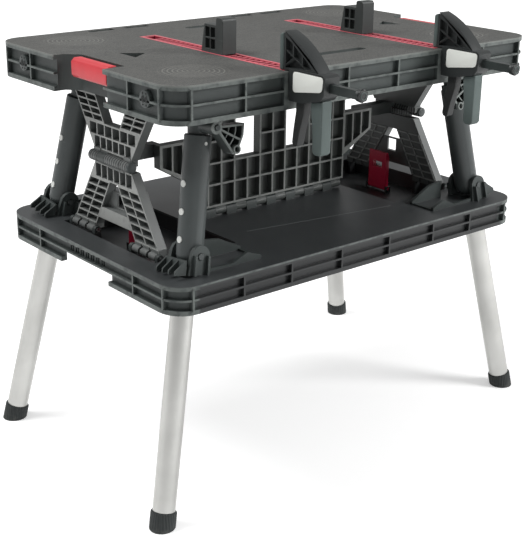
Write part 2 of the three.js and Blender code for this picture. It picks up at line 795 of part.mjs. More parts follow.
const lowerWaist = [[-36, armNearY - 1]];
const upperWaist = [[-panelWaist, -37], [armFarY + 1, panelWaist]];
for (const { name, sx } of sides) {
  piece(`${name}_lower_panel`, panelHalfSolid(sx, panelBaseZ, 1, lowerWaist), panelFinish);
  piece(`${name}_panel_bay`, panelBay(sx), panelFinish);
  piece(`${name}_upper_panel`, panelHalfSolid(sx, panelTopZ, -1, upperWaist), panelFinish);
  const pinNear = panelFootIn - lugThick - 2;
  const pinFar = panelFootOut + lugThick;
  for (const [place, from, to, z] of [
    ['front_base', -pinFar, -pinNear, panelBaseZ], ['rear_base', pinNear, pinFar, panelBaseZ],
    ['waist', -panelWaist - 1, panelWaist + 1, waistZ],
    ['front_top', -pinFar, -pinNear, panelTopZ], ['rear_top', pinNear, pinFar, panelTopZ],
  ]) {
    piece(`${name}_${place}_pin`, rod([sx * panelX, from, z], [sx * panelX, to, z], panelPinR), steelFinish);
  }

  // Arm link from the waist to the web's wing
  const armX = [sx * armReach, sx * panelX];
  const armBody = box(armX, [armNearY, armFarY], [waistZ - armHalfHeight, waistZ + armHalfHeight]);
  const pocketX = [sx * (armReach + 5), sx * (panelX - waistKnuckleR - 6)];
  const pocketZ = [waistZ - armHalfHeight + 4, waistZ + armHalfHeight - 4];
  const barrel = rod([sx * panelX, armNearY, waistZ], [sx * panelX, armFarY, waistZ], waistKnuckleR, turnSides);
  const arm = cut(
    join(armBody, barrel),
    box(pocketX, [armFarY - 9, armFarY + 1], pocketZ),
    bore([sx * panelX, armNearY - 1, waistZ], [sx * panelX, armFarY + 1, waistZ], panelPinR),
  );
  piece(`${name}_arm_link`, arm, postFinish);

  // Red latch that stands in the tray
  const halfThick = latchThick / 2;
  const latchY = sx * latchMidY;
  const latchSpan = [latchY - latchHalf, latchY + latchHalf];
  const profile = outline([
    [-halfThick, 0], [halfThick, 0], [halfThick, latchTopZ - latchPivotZ - 14],
    [halfThick - 4, latchTopZ - latchPivotZ], [-halfThick, latchTopZ - latchPivotZ],
  ].map(([x, h]) => [sx * (latchX + x), latchPivotZ + h]));
  const latchReach = latchHalf + 5;
  const latch = cut(
    join(
      alongY(profile, ...latchSpan),
      rod([sx * latchX, latchSpan[0], latchPivotZ], [sx * latchX, latchSpan[1], latchPivotZ], halfThick),
      rod([sx * latchX, latchY - latchReach, latchPivotZ], [sx * latchX, latchY + latchReach, latchPivotZ],
        latchPinR),
    ),
    box([sx * (latchX - 9), sx * (latchX + 9)], [latchY - 13, latchY + 13],
      [latchTopZ - 34, latchTopZ - 22]),
  );
  piece(`${name}_base_latch`, latch, redFinish);
}

// Web: a ribbed panel with two windows and two wings, on a row of knuckles
function webPanel() {
  const z = (h) => webPinZ + h;
  const low = webKnuckleR + 2.5;
  const plan = outline([
    [-webHalf, low], [webHalf, low], [webHalf, wingLowNear - 8], [webHalf + 20, wingLowNear + 4],
    [wingReach, wingLowFar], [wingReach, wingTop], [webHalf, wingTop], [webHalf, webTop],
    [-webHalf, webTop], [-webHalf, wingTop], [-wingReach, wingTop], [-wingReach, wingLowFar],
    [-webHalf - 20, wingLowNear + 4], [-webHalf, wingLowNear - 8],
  ].map(([x, h]) => [x, z(h)]));
  const half = webHalfThick - runGap;
  let body = alongY(plan, -half, half);

  // Square rib cells open to the front, in even columns and rows
  const columns = 12;
  const rows = 4;
  const wide = (2 * webHalf - webRib) / columns;
  const tall = (webTop - low - webRib) / rows;
  for (let i = 0; i < columns; i += 1) {
    for (let j = 0; j < rows; j += 1) {
      const x = -webHalf + webRib + wide * i;
      const h = low + webRib + tall * j;
      body = body.subtract(box([x, x + wide - webRib], [-half - 1, half - webBack],
        [z(h), z(h + tall - webRib)]));
    }
  }

  // Rib cells in the wings
  const wingCells = 3;
  const wingWide = (wingReach - webHalf - webRib) / wingCells;
  for (const sx of [-1, 1]) {
    for (let i = 0; i < wingCells; i += 1) {
      const x0 = webHalf + wingWide * i + webRib / 2;
      const x1 = x0 + wingWide - webRib;
      const edge = (x) => wingLowNear + ((wingLowFar - wingLowNear) * (x - webHalf)) / (wingReach - webHalf);
      const cell = outline([[x0, edge(x0) + 5], [x1, edge(x1) + 5], [x1, wingTop - 5], [x0, wingTop - 5]]
        .map(([x, h]) => [sx * x, z(h)]));
      body = body.subtract(alongY(cell, -half - 1, half - webBack));
    }
  }

  // Open windows
  const windowHeights = [z(low + 2 * tall + webRib), z(webTop - webRib)];
  for (const column of [3, 7]) {
    const x = -webHalf + webRib + wide * column;
    body = body.subtract(box([x, x + 2 * wide - webRib], [-half - 1, half + 1], windowHeights));
  }

  // Knuckles between the lugs of the deck
  const knuckles = webFingers.filter((_, i) => i % 2 === 0).flatMap(([from, to]) => [
    rod([from, 0, webPinZ], [to, 0, webPinZ], webKnuckleR, knuckleSides),
    box([from, to], [-4, 4], [webPinZ, z(low + 1)]),
  ]);
  const hole = bore([-webHalf, 0, webPinZ], [webHalf, 0, webPinZ], webPinR);
  return cut(join(body, knuckles), hole);
}
piece('web_panel', webPanel(), panelFinish);
const webPinReach = webHalf - 2;
piece('web_pin', rod([-webPinReach, 0, webPinZ], [webPinReach, 0, webPinZ], webPinR), steelFinish);

// Top: ribbed slab, open below, with notches, track slots, dog slots and lugs for the panel pins
function notchSolids(sx) {
  const edge = sx * width / 2;
  const inner = edge - sx * notchDepth;
  const block = box([edge - sx * shellWall, inner - sx * wallThick],
    [notchFront - wallThick, notchRear + wallThick], [topLowZ, topUnderZ + 1]);
  const opening = outline([
    [edge + sx, notchFront], [inner, notchFront], [inner, notchRear - notchChamfer],
    [inner + sx * notchChamfer, notchRear], [edge + sx, notchRear],
  ]);
  return { block, opening: alongZ(opening, topLowZ - 1, height + 1) };
}

function gripEars(sx) {
  const wall = sx * (width / 2 - notchDepth);
  const x = wall + sx * gripPivotX;
  const ears = [[gripRear + gripEndGap, 1], [gripFront - gripEndGap, -1]].map(([near, s]) => box(
    [wall - sx, x + sx * 6], [near, near + s * gripEarThick], [gripPivotZ - 7, gripPivotZ + 6],
  ));
  const reach = gripEarThick + 4;
  const hole = bore([x, gripFront - reach, gripPivotZ], [x, gripRear + reach, gripPivotZ], gripPinR);
  return cut(join(ears), hole);
}

function barBoss(sx) {
  return box([sx * (clampX - 22), sx * (clampX + 22)], [frontY, frontY + shellWall - 1],
    [topLowZ + lipHeight - 1, height - lipHeight + 1]);
}

function topPanel() {
  const { body, hollow } = ribbedSlab(topLowZ, height, topRibs, endRibs);
  let top = body.subtract(hollow);
  for (const { sx } of sides) {
    const notch = notchSolids(sx);
    top = cut(top.add(notch.block), notch.opening);
    top = join(top, gripEars(sx), panelLugs(sx, panelTopZ, topUnderZ), barBoss(sx));
    const half = trackWide / 2 + seatGap;
    top = top.subtract(box([sx * trackX - half, sx * trackX + half],
      [trackFront - seatGap, trackRear + seatGap], [topUnderZ - 1, height + 1]));
    const barHalf = barWide / 2 + seatGap;
    const barTall = barHigh / 2 + seatGap;
    top = top.subtract(box([sx * clampX - barHalf, sx * clampX + barHalf],
      [frontY - 1, barInnerY + seatGap], [barZ - barTall, barZ + barTall]));
    for (const x of [132, 213]) {
      const rear = depth / 2 - shellWall - toolSlotEdge;
      top = top.subtract(box([sx * x - toolSlotLong / 2, sx * x + toolSlotLong / 2],
        [rear - toolSlotWide, rear], [topUnderZ - 1, height + 1]));
    }
    const triangle = outline([[285, 0], [322, -26], [322, 26]].map(([x, y]) => [sx * x, y]));
    top = top.subtract(alongZ(triangle, topUnderZ - 1, height + 1));
  }
  for (const sy of [-1, 1]) {
    const slot = roundedRectangle(longSlotLong, longSlotWide, longSlotWide / 2 - 0.1);
    const place = new THREE.Matrix4().makeTranslation(0, sy * longSlotY, 0);
    top = top.subtract(moved(alongZ(slot, topUnderZ - 1, height + 1), place));
  }
  return top;
}
piece('top_panel', topPanel(), shellFinish);

// What sits on the top: red tracks, sliding dogs, red grips and quick clamps
for (const { name, sx } of sides) {
  const x = sx * trackX;
  const half = trackWide / 2;
  const floorZ = height - trackDeep;
  const grooveHalf = half - trackWall;
  const track = cut(
    box([x - half, x + half], [trackFront, trackRear], [floorZ - 1.5, height - 0.5]),
    box([x - grooveHalf, x + grooveHalf], [trackFront + 4, trackRear - 4], [floorZ, height]),
  );
  piece(`${name}_track`, track, redFinish);

  // The stop: a tall block in front of a hollow wedge, with a rib foot in the track's groove
  const footHalf = grooveHalf - runGap;
  const dogHalfX = dogWide / 2;
  const dogY = sx < 0 ? leftDogY : rightDogY;
  const dogLow = height + seatGap;
  const blockFront = dogY - (dogWedge + dogBlock) / 2;
  const blockRear = blockFront + dogBlock;
  const wedgeRear = blockRear + dogWedge;
  const dogShape = outline([
    [blockFront, dogLow], [wedgeRear, dogLow], [wedgeRear - 9, height + dogWedgeHigh],
    [blockRear, height + dogWedgeHigh], [blockRear, height + dogHigh - 2], [blockRear - 3, height + dogHigh],
    [blockFront + 4, height + dogHigh], [blockFront, height + dogHigh - 5],
  ]);
  const cells = [-1, 1].flatMap((s) => [0, 1].flatMap((column) => [0, 1].map((row) => {
    const y = blockRear + 3 + column * 15;
    const low = height + 7 + row * 20;
    return box([x + s * (dogHalfX - 8), x + s * (dogHalfX + 1)], [y, y + 12], [low, low + 17]);
  })));
  const dog = join(
    cut(alongX(dogShape, x - dogHalfX, x + dogHalfX), cells),
    box([x - footHalf, x + footHalf], [blockFront + 2, wedgeRear - 2], [floorZ + seatGap, dogLow + 2]),
  );
  piece(`${name}_dog`, dog, postFinish);

  // The red grip: a thick bar along the notch, chamfered where it turns past the wall
  const wallX = sx * (width / 2 - notchDepth + gripGapX);
  const gripX = sx * (width / 2 - notchDepth + gripPivotX);
  const out = (by) => wallX + sx * by;
  const gripTop = height - 1.5;
  const gripLow = gripTop - gripHigh;
  const pivot = [gripFront - gripEarThick, gripRear + gripEarThick];
  const grip = join(
    alongY(outline([
      [out(0), gripLow + 4], [out(4), gripLow], [out(gripThickX - 4), gripLow], [out(gripThickX), gripLow + 5],
      [out(gripThickX), gripTop - 6], [out(gripThickX - 6), gripTop], [out(5), gripTop], [out(0), gripPivotZ + 1],
    ]), gripFront, gripRear),
    rod([gripX, pivot[0], gripPivotZ], [gripX, pivot[1], gripPivotZ], gripPinR),
  );
  piece(`${name}_notch_grip`, grip, redFinish);
}

// Quick clamps, drawn from the front edge of the top (outwards) and from its upper face (upwards)
for (const { name, sx } of sides) {
  const x = sx * clampX;
  const half = clampThick / 2;
  const jawHalf = jawThick / 2;
  const drawn = (points) => outline(points.map(([outwards, up]) => [frontY - outwards, height + up]));
  const across = (shape, halfWide) => alongX(shape, x - halfWide, x + halfWide);
  const underside = (outwards) => -46 + (10 * Math.max(0, outwards - 33)) / 45;

  // Housing with an arched jaw that reaches over the top
  const housing = across(drawn([
    [frontClear, underside(0)], [33, underside(33)], [78, underside(78)], [86, -26], [88, 2], [82, 6], [frontClear, 6],
  ]), half);
  const arch = across(drawn([
    [frontClear + 2, 3], [-jawIn, runGap], [-jawIn, 60], [4 - jawIn, 62], [6, 53], [22, 43], [48, 26], [71, 5], [60, 3],
  ]), jawHalf);
  const recess = drawn([[4 - jawIn, 5], [4 - jawIn, 53], [4, 47], [19, 37], [44, 20], [55, 9]]);
  const recessLow = jawHalf - jawRecess;
  const recesses = [-1, 1].map((s) => alongX(recess,
    Math.min(x + s * recessLow, x + s * (jawHalf + 1)), Math.max(x + s * recessLow, x + s * (jawHalf + 1))));
  const rib = (from, to, wide) => {
    const along = new THREE.Vector2(to[0] - from[0], to[1] - from[1]).normalize().multiplyScalar(wide / 2);
    return across(drawn([
      [from[0] - along.y, from[1] + along.x], [to[0] - along.y, to[1] + along.x],
      [to[0] + along.y, to[1] - along.x], [from[0] + along.y, from[1] - along.x],
    ]), jawHalf - 1);
  };
  const ribs = [
    rib([2 - jawIn, 34], [44, 5], 2.5), rib([2 - jawIn, 8], [9, 22], 2.5), rib([8, 47], [8, 20], 2.5),
    rib([30, 33], [30, 12], 2.5),
  ];

  // Slot for the trigger, tunnel for the bar and hole for the trigger's pin
  const pivotOut = 22;
  const pivotUp = -38;
  const pivotR = 3;
  const pivotY = frontY - pivotOut;
  const pivotZ = height + pivotUp;
  const slotHalf = triggerThick / 2 + runGap * 2;
  const triggerSlot = box([x - slotHalf, x + slotHalf], [frontY - 42, frontY], [height - 60, pivotZ + 8]);
  const tunnelHalf = barWide / 2 + runGap;
  const tunnelTall = barHigh / 2 + runGap;
  const tunnel = box([x - tunnelHalf, x + tunnelHalf], [frontY - 90, frontY], [barZ - tunnelTall, barZ + tunnelTall]);
  const pinHalf = half - 4;
  const pivotBore = bore([x - pinHalf, pivotY, pivotZ], [x + pinHalf, pivotY, pivotZ], pivotR);
  const jaw = join(cut(arch, recesses), ribs);
  piece(`${name}_clamp_body`, cut(join(housing, jaw), triggerSlot, tunnel, pivotBore), postFinish);

  const padNear = -jawIn - seatGap;
  const padFar = -jawIn - padThick;
  const padShape = drawn([[padNear, runGap], [padFar, runGap], [padFar, 58], [padNear, 61]]);
  piece(`${name}_clamp_pad`, across(padShape, jawHalf + 2), rubberFinish);

  const gripShape = drawn([
    [50, underside(50) - seatGap], [56, -92], [57, -121], [61, -126], [74, -126], [78, -121], [78, -92],
    [78, underside(78) - seatGap],
  ]);
  piece(`${name}_clamp_grip`, across(gripShape, gripThick / 2), gripFinish);

  const triggerShape = drawn([
    [15, pivotUp + 4], [29, pivotUp + 4], [33, pivotUp - 5], [31, -66], [22, -96], [17, -119], [13, -122],
    [7, -121], [4, -116], [7, -92], [12, -64], [13, pivotUp - 4],
  ]);
  const trigger = join(
    across(triggerShape, triggerThick / 2),
    rod([x - pinHalf + runGap, pivotY, pivotZ], [x + pinHalf - runGap, pivotY, pivotZ], pivotR),
  );
  piece(`${name}_clamp_trigger`, trigger, gripFinish);

  const bar = join(
    box([x - barWide / 2, x + barWide / 2], [barInnerY, barOuterY + 2], [barZ - barHigh / 2, barZ + barHigh / 2]),
    rod([x, barOuterY, barZ], [x, barOuterY + 6, barZ], barCapR, turnSides),
  );
  piece(`${name}_clamp_bar`, bar, steelFinish);
}

// The bars reach further out in front than the feet do behind, so the bench is moved to stand
// with the middle of its whole outline over the origin
const reach = new THREE.Box3().setFromObject(bench);
bench.position.y = -(reach.min.y + reach.max.y) / 2;

export default workbench;
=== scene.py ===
import json
import math

import bpy
from mathutils import Matrix, Vector

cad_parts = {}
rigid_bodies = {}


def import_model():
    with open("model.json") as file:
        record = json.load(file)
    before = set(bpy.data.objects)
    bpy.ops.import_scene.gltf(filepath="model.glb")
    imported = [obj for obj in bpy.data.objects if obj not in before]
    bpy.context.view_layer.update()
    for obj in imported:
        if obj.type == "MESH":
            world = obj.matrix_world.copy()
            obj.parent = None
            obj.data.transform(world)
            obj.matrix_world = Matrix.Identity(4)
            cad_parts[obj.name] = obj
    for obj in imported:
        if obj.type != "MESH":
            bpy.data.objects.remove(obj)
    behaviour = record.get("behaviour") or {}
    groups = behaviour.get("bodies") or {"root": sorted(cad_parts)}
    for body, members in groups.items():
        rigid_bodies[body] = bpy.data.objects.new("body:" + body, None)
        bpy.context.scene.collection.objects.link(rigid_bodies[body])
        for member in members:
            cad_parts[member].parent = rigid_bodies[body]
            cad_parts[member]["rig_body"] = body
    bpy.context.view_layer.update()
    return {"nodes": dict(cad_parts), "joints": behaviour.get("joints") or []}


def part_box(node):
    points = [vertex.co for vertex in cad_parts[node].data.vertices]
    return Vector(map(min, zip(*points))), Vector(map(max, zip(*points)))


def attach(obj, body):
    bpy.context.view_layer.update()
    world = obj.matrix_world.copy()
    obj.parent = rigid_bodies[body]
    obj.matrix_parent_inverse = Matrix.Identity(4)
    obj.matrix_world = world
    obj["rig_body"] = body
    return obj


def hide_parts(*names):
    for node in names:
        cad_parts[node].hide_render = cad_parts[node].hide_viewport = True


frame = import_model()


# The base tray: the lower shell of the bench, with its deck, ribbed rim, yokes, ears and lugs.
# One injection moulding in dark grey polypropylene, with a fine grain on the walls and a smooth deck.
# The legs hinge under it, and the posts, end panels and web hinge on top of it.
class Value:
    """A socket of a finish, so that shader maths reads as plain sums."""

    def __init__(self, finish, socket):
        self.finish = finish
        self.socket = socket

    def maths(self, operation, first, second=0.0):
        return self.finish.node("ShaderNodeMath", {"operation": operation}, {0: first, 1: second})

    def __add__(self, other):
        return self.maths("ADD", self, other)

    def __radd__(self, other):
        return self.maths("ADD", other, self)

    def __sub__(self, other):
        return self.maths("SUBTRACT", self, other)

    def __rsub__(self, other):
        return self.maths("SUBTRACT", other, self)

    def __mul__(self, other):
        return self.maths("MULTIPLY", self, other)

    def __abs__(self):
        return self.maths("ABSOLUTE", self)

    def at_least(self, other):
        return self.maths("MAXIMUM", self, other)

    def at_most(self, other):
        return self.maths("MINIMUM", self, other)

    def root(self):
        return self.maths("SQRT", self)

    def sine(self):
        return self.maths("SINE", self)

    def step(self, low, high):
        """0 below low, 1 above high and smooth between; low may be the larger one."""
        settings = {"interpolation_type": "SMOOTHSTEP"}
        turned = low > high
        ends = {"Value": self, "From Min": min(low, high), "From Max": max(low, high)}
        rise = self.finish.node("ShaderNodeMapRange", settings, ends)
        return 1 - rise if turned else rise


class Finish:
    """A procedural material on Object coordinates, in metres in the frame of the bench."""

    def __init__(self, name, **fixed):
        self.material = bpy.data.materials.new(name)
        self.material.use_nodes = True
        self.tree = self.material.node_tree
        self.shader = self.tree.nodes["Principled BSDF"]
        for socket, value in fixed.items():
            self.shader.inputs[socket.replace("_", " ")].default_value = value
        self.place = self.node("ShaderNodeTexCoord", {}, {}, "Object")
        self.x, self.y, self.z = (
            self.node("ShaderNodeSeparateXYZ", {}, {0: self.place}, axis) for axis in "XYZ"
        )

    def node(self, kind, settings, inputs, output=0):
        node = self.tree.nodes.new(kind)
        for key, value in settings.items():
            setattr(node, key, value)
        for key, value in inputs.items():
            self.join(value, node.inputs[key])
        return Value(self, node.outputs[output])

    def join(self, value, socket):
        if isinstance(value, Value):
            self.tree.links.new(value.socket, socket)
        else:
            socket.default_value = value

    def set(self, **links):
        for socket, value in links.items():
            self.join(value, self.shader.inputs[socket.replace("_", " ")])

    def noise(self, scale, detail=3.0, stretch=None):
        place = self.place
        if stretch:
            place = self.node("ShaderNodeMapping", {}, {"Vector": place, "Scale": stretch})
        return self.node("ShaderNodeTexNoise", {}, {"Vector": place, "Scale": scale, "Detail": detail}, "Fac")

    def mix(self, share, first, second):
        return self.node("ShaderNodeMix", {"data_type": "RGBA"}, {0: share, 6: first, 7: second}, 2)

    def bump(self, height, distance, strength=1.0):
        inputs = {"Height": height, "Distance": distance, "Strength": strength}
        self.set(Normal=self.node("ShaderNodeBump", {}, inputs, "Normal"))


def tint(red, green, blue):
    """A colour picked from the photograph, 0 to 255 a channel, as a linear colour."""
    def linear(c):
        c /= 255
        return c / 12.92 if c <= 0.04045 else ((c + 0.055) / 1.055) ** 2.4
    return (linear(red), linear(green), linear(blue), 1.0)


def roomy_edges(mesh, width, sharp):
    """Weight the hard edges for a bevel, leaving out those with no room for it at an end."""
    room_needed = 2.6 * width
    shortest = [1.0] * len(mesh.vertices)
    for edge in mesh.edges:
        first, second = edge.vertices
        length = (mesh.vertices[first].co - mesh.vertices[second].co).length
        shortest[first] = min(shortest[first], length)
        shortest[second] = min(shortest[second], length)
    normals = {}
    for face in mesh.polygons:
        for key in face.edge_keys:
            normals.setdefault(key, []).append(face.normal)
    weights = mesh.attributes.new("bevel_weight_edge", "FLOAT", "EDGE")
    for edge in mesh.edges:
        beside = normals.get(edge.key, [])
        hard = len(beside) == 2 and beside[0].angle(beside[1], 0) > math.radians(sharp)
        room = min(shortest[v] for v in edge.vertices) > room_needed
        weights.data[edge.index].value = 1.0 if hard and room else 0.0


def dressed(name, node, finish, bevel, sharp=50):
    """A copy of a CAD node with its doubles merged, flat faces joined and hard edges rounded."""
    merge_within = 0.00002
    flat_within = math.radians(0.5)
    piece = bpy.data.objects.new(name, frame["nodes"][node].data.copy())
    bpy.context.scene.collection.objects.link(piece)
    bpy.ops.object.select_all(action="DESELECT")
    bpy.context.view_layer.objects.active = piece
    piece.select_set(True)
    bpy.ops.object.mode_set(mode="EDIT")
    bpy.ops.mesh.select_all(action="SELECT")
    bpy.ops.mesh.remove_doubles(threshold=merge_within)
    bpy.ops.mesh.dissolve_limited(angle_limit=flat_within)
    bpy.ops.object.mode_set(mode="OBJECT")
    if bevel:
        edges = piece.modifiers.new("rounded edges", "BEVEL")
        edges.width = bevel
        edges.segments = 2
        edges.limit_method = "WEIGHT"
        edges.use_clamp_overlap = True
        roomy_edges(piece.data, bevel, sharp)
        bpy.ops.object.modifier_apply(modifier=edges.name)
    bpy.ops.object.shade_smooth_by_angle(angle=math.radians(sharp))
    weights = piece.modifiers.new("flat faces", "WEIGHTED_NORMAL")
    weights.keep_sharp = True
    bpy.ops.object.modifier_apply(modifier=weights.name)
    piece.data.materials.clear()
    piece.data.materials.append(finish.material)
    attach(piece, frame["nodes"][node]["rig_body"])
    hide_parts(node)
    return piece


def moulded(name, colour, roughness, grain=0.00012, spread=0.14):
    """Moulded plastic: a mottled tone, flow marks, a fine grain and pale scuffs."""
    finish = Finish(name, Specular_IOR_Level=0.4)
    cloud = finish.noise(9, 4)
    flow = finish.noise(26, 2, (1, 1, 0.4))
    fine = finish.noise(1500, 2)
    scuff = finish.noise(160, 6, (1, 0.12, 0.6)).step(0.66, 0.74)
    pale = tuple(min(1, c * 1.9 + 0.02) for c in colour[:3]) + (1,)
    deep = tuple(c * (1 - spread * 2) for c in colour[:3]) + (1,)
    light = tuple(c * (1 + spread) for c in colour[:3]) + (1,)
    tone = finish.mix((cloud * 0.6 + flow * 0.4).step(0.3, 0.7), deep, light)
    finish.tone = finish.mix(scuff * 0.16, tone, pale)
    finish.grain = fine
    finish.set(Base_Color=finish.tone, Roughness=roughness + (cloud - 0.5) * 0.16 - scuff * 0.05)
    finish.bump(fine, grain, 0.6)
    return finish


def rim_depth(finish, half_x, half_y, radius):
    """How far a point lies outside a rounded outline; inside it is negative."""
    past_x = abs(finish.x) - (half_x - radius)
    past_y = abs(finish.y + bench_shift) - (half_y - radius)
    corner_x = past_x.at_least(0.0)
    corner_y = past_y.at_least(0.0)
    corner = (corner_x * corner_x + corner_y * corner_y).root()
    return corner + past_x.at_least(past_y).at_most(0.0) - radius


bench_shift = -(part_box("top_panel")[0].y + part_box("top_panel")[1].y) / 2
shell_half_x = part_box("top_panel")[1].x
shell_half_y = (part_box("top_panel")[1].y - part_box("top_panel")[0].y) / 2
shell_radius = 0.046
pin_over_deck = 0.002
deck_z = frame["joints"][0]["pos_m"][2] - pin_over_deck
tray_z = 0.4285
tray_x = 0.38
# How deep inside the outline the outer faces of the rim and ribs are painted paler as a highlight, and that
# paler grey
highlight_band = (-0.0016, -0.0006)
shell_grey = tint(60, 66, 65)
highlight_grey = tint(112, 118, 115)
deck_grey = tint(64, 67, 68)

base_finish = moulded("base_moulding", shell_grey, 0.46)
base_rim = rim_depth(base_finish, shell_half_x, shell_half_y, shell_radius)
# Painted highlight: a pale band on the outer faces of the rim and ribs, broken up by noise
base_edge_highlight = base_rim.step(*highlight_band) * base_finish.noise(60, 4).step(0.25, 0.6)
on_deck = (abs(base_finish.z - deck_z)).step(0.0012, 0.0006)
in_tray = base_finish.z.step(tray_z, tray_z - 0.0025) * abs(base_finish.x).step(tray_x, tray_x - 0.006)
smooth = on_deck.at_least(in_tray)
back = base_finish.y + bench_shift

# The deck's front strip ends at a low step that runs a little askew, bumped in, with a pale line painted
# along it as a highlight
along = base_finish.x * 0.988 - back * 0.152
across = back + base_finish.x * 0.1546 + 0.1328
inside = along.step(-0.128, -0.126) * along.step(0.2, 0.198)
step_edge = abs(across).step(0.0016, 0.0006) * inside * on_deck
deck_tone = base_finish.mix(base_finish.noise(14, 4), tint(54, 57, 58), deck_grey)
# Painted shade: the tray floors are darkened almost to black, as the shadow in the recesses
deck_tone = base_finish.mix(in_tray * 0.7, deck_tone, tint(16, 17, 18))
# Painted highlight: a pale line along the edge of the askew step
deck_tone = base_finish.mix(step_edge * 0.8, deck_tone, tint(120, 124, 124))
wall_tone = base_finish.mix(base_edge_highlight * 0.62, base_finish.tone, highlight_grey)
base_finish.set(Base_Color=base_finish.mix(smooth, wall_tone, deck_tone))
base_finish.set(Roughness=0.52 - smooth * 0.12 + (base_finish.noise(9, 4) - 0.5) * 0.14)
base_finish.bump(base_finish.grain * (1 - smooth * 0.75) + step_edge * 5, 0.00012, 0.6)
base = dressed("base_shell", "base_tray", base_finish, 0.0006)


def started(operator, name, **sizes):
    """A primitive to model from, alone selected and active, at the origin."""
    bpy.ops.object.select_all(action="DESELECT")
    operator(location=(0, 0, 0), **sizes)
    bpy.context.object.name = name
    return bpy.context.object


def pick(piece, test):
    """Edit mode, with only the faces selected that pass the test."""
    bpy.ops.object.mode_set(mode="EDIT")
    bpy.ops.mesh.select_mode(type="FACE")
    bpy.ops.mesh.select_all(action="DESELECT")
    bpy.ops.object.mode_set(mode="OBJECT")
    for face in piece.data.polygons:
        face.select = test(face)
    bpy.ops.object.mode_set(mode="EDIT")


def rounded(piece, width, segments=2, sharp=35):
    """Back in object mode, with the hard edges rounded and the shading smooth."""
    bpy.ops.object.mode_set(mode="OBJECT")
    edges = piece.modifiers.new("rounded edges", "BEVEL")
    edges.width = width
    edges.segments = segments
    edges.limit_method = "ANGLE"
    edges.angle_limit = math.radians(sharp)
    bpy.ops.object.modifier_apply(modifier=edges.name)
    bpy.ops.object.shade_smooth_by_angle(angle=math.radians(sharp))


def fixed(piece, name, place, body, slot, finish):
    """A copy of a modelled piece with a mesh of its own, put in place and fixed to a body."""
    copy = bpy.data.objects.new(name, piece.data.copy())
    copy.data.transform(place)
    copy.data.materials.clear()
    copy.data.materials.append(finish.material)
    bpy.context.scene.collection.objects.link(copy)
    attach(copy, body)
    return copy


# The grille of each end wall: a dark plate behind the slots that paints the shade inside the wall, and a thin
# slat down the middle of each
shade_finish = moulded("grille_shade", tint(20, 21, 22), 0.7)
grille_z = 0.4158
shade_plate_size = (0.0012, 0.116, 0.019)
shade_plate_depth = 0.0132
slat_size = (0.005, 0.0032, 0.017)
slat_depth = 0.0102
slat_pitch = 0.017
slat_count = 7
shade_plate = started(bpy.ops.mesh.primitive_cube_add, "shade_plate_model", size=1)
pick(shade_plate, lambda face: True)
bpy.ops.transform.resize(value=shade_plate_size)
rounded(shade_plate, 0.0003)
slat = started(bpy.ops.mesh.primitive_cube_add, "slat_model", size=1)
pick(slat, lambda face: True)
bpy.ops.transform.resize(value=slat_size)
bpy.ops.transform.translate(value=(0, -(slat_count - 1) / 2 * slat_pitch, 0))
rounded(slat, 0.0005)
row = slat.modifiers.new("row of slats", "ARRAY")
row.count = slat_count
row.use_relative_offset = False
row.use_constant_offset = True
row.constant_offset_displace = (0, slat_pitch, 0)
bpy.ops.object.modifier_apply(modifier=row.name)
for side, sx in [("left", -1), ("right", 1)]:
    behind = Matrix.Translation((sx * (shell_half_x - shade_plate_depth), -bench_shift, grille_z))
    fixed(shade_plate, f"{side}_grille_shade_plate", behind, "base", "dark", shade_finish)
    within = Matrix.Translation((sx * (shell_half_x - slat_depth), -bench_shift, grille_z))
    fixed(slat, f"{side}_grille_slats", within, "base", "shell", base_finish)
for model in [shade_plate, slat]:
    bpy.data.objects.remove(model)


# The legs: a hinged plastic head, a drawn aluminium tube pressed on it and a rubber foot.
# The tube is satin anodised and shows fine lines along its length; the foot is ribbed rubber.
# Each leg turns on the pin of its head between two ears under the base.
corner_names = ["front_left", "front_right", "rear_left", "rear_right"]

head_finish = moulded("leg_head_moulding", tint(44, 47, 47), 0.5)
tube_finish = Finish("satin_aluminium", Metallic=1.0, Specular_IOR_Level=0.5)
drawn = tube_finish.noise(620, 3, (1, 1, 0.02))
blotch = tube_finish.noise(7, 4)
tube_finish.set(
    Base_Color=tube_finish.mix(blotch.step(0.3, 0.7), tint(178, 178, 175), tint(198, 198, 195)),
    Roughness=0.36 + (drawn - 0.5) * 0.22 + (blotch - 0.5) * 0.08,
)
tube_finish.bump(drawn, 0.00005, 0.5)
rubber_finish = Finish("foot_rubber", Specular_IOR_Level=0.3)
dust = rubber_finish.z.step(0.02, 0.0) * rubber_finish.noise(90, 4).step(0.4, 0.7)
rubber_tone = rubber_finish.mix(rubber_finish.noise(24, 4), tint(42, 45, 45), tint(60, 64, 64))
rubber_finish.set(
    Base_Color=rubber_finish.mix(dust * 0.3, rubber_tone, tint(120, 120, 116)),
    Roughness=0.72 + dust * 0.15,
)
foot_ridges = 26
foot_low, foot_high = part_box("leg_foot_front_right")
foot_x = abs(rubber_finish.x) - (foot_low.x + foot_high.x) / 2
foot_y = abs(rubber_finish.y + bench_shift) + (foot_low.y + foot_high.y) / 2 + bench_shift
ridges = (foot_x.maths("ARCTAN2", foot_x, foot_y) * foot_ridges).sine() * rubber_finish.z.step(0.003, 0.006)
rubber_finish.bump(rubber_finish.noise(900, 2) * 0.15 + ridges * 0.5, 0.0011, 0.8)

for corner in corner_names:
    head = dressed(f"leg_head_dressed_{corner}", f"leg_head_{corner}", head_finish, 0.0005)
    tube = dressed(f"leg_tube_dressed_{corner}", f"leg_tube_{corner}", tube_finish, 0)
    foot = dressed(f"leg_foot_dressed_{corner}", f"leg_foot_{corner}", rubber_finish, 0.0008)


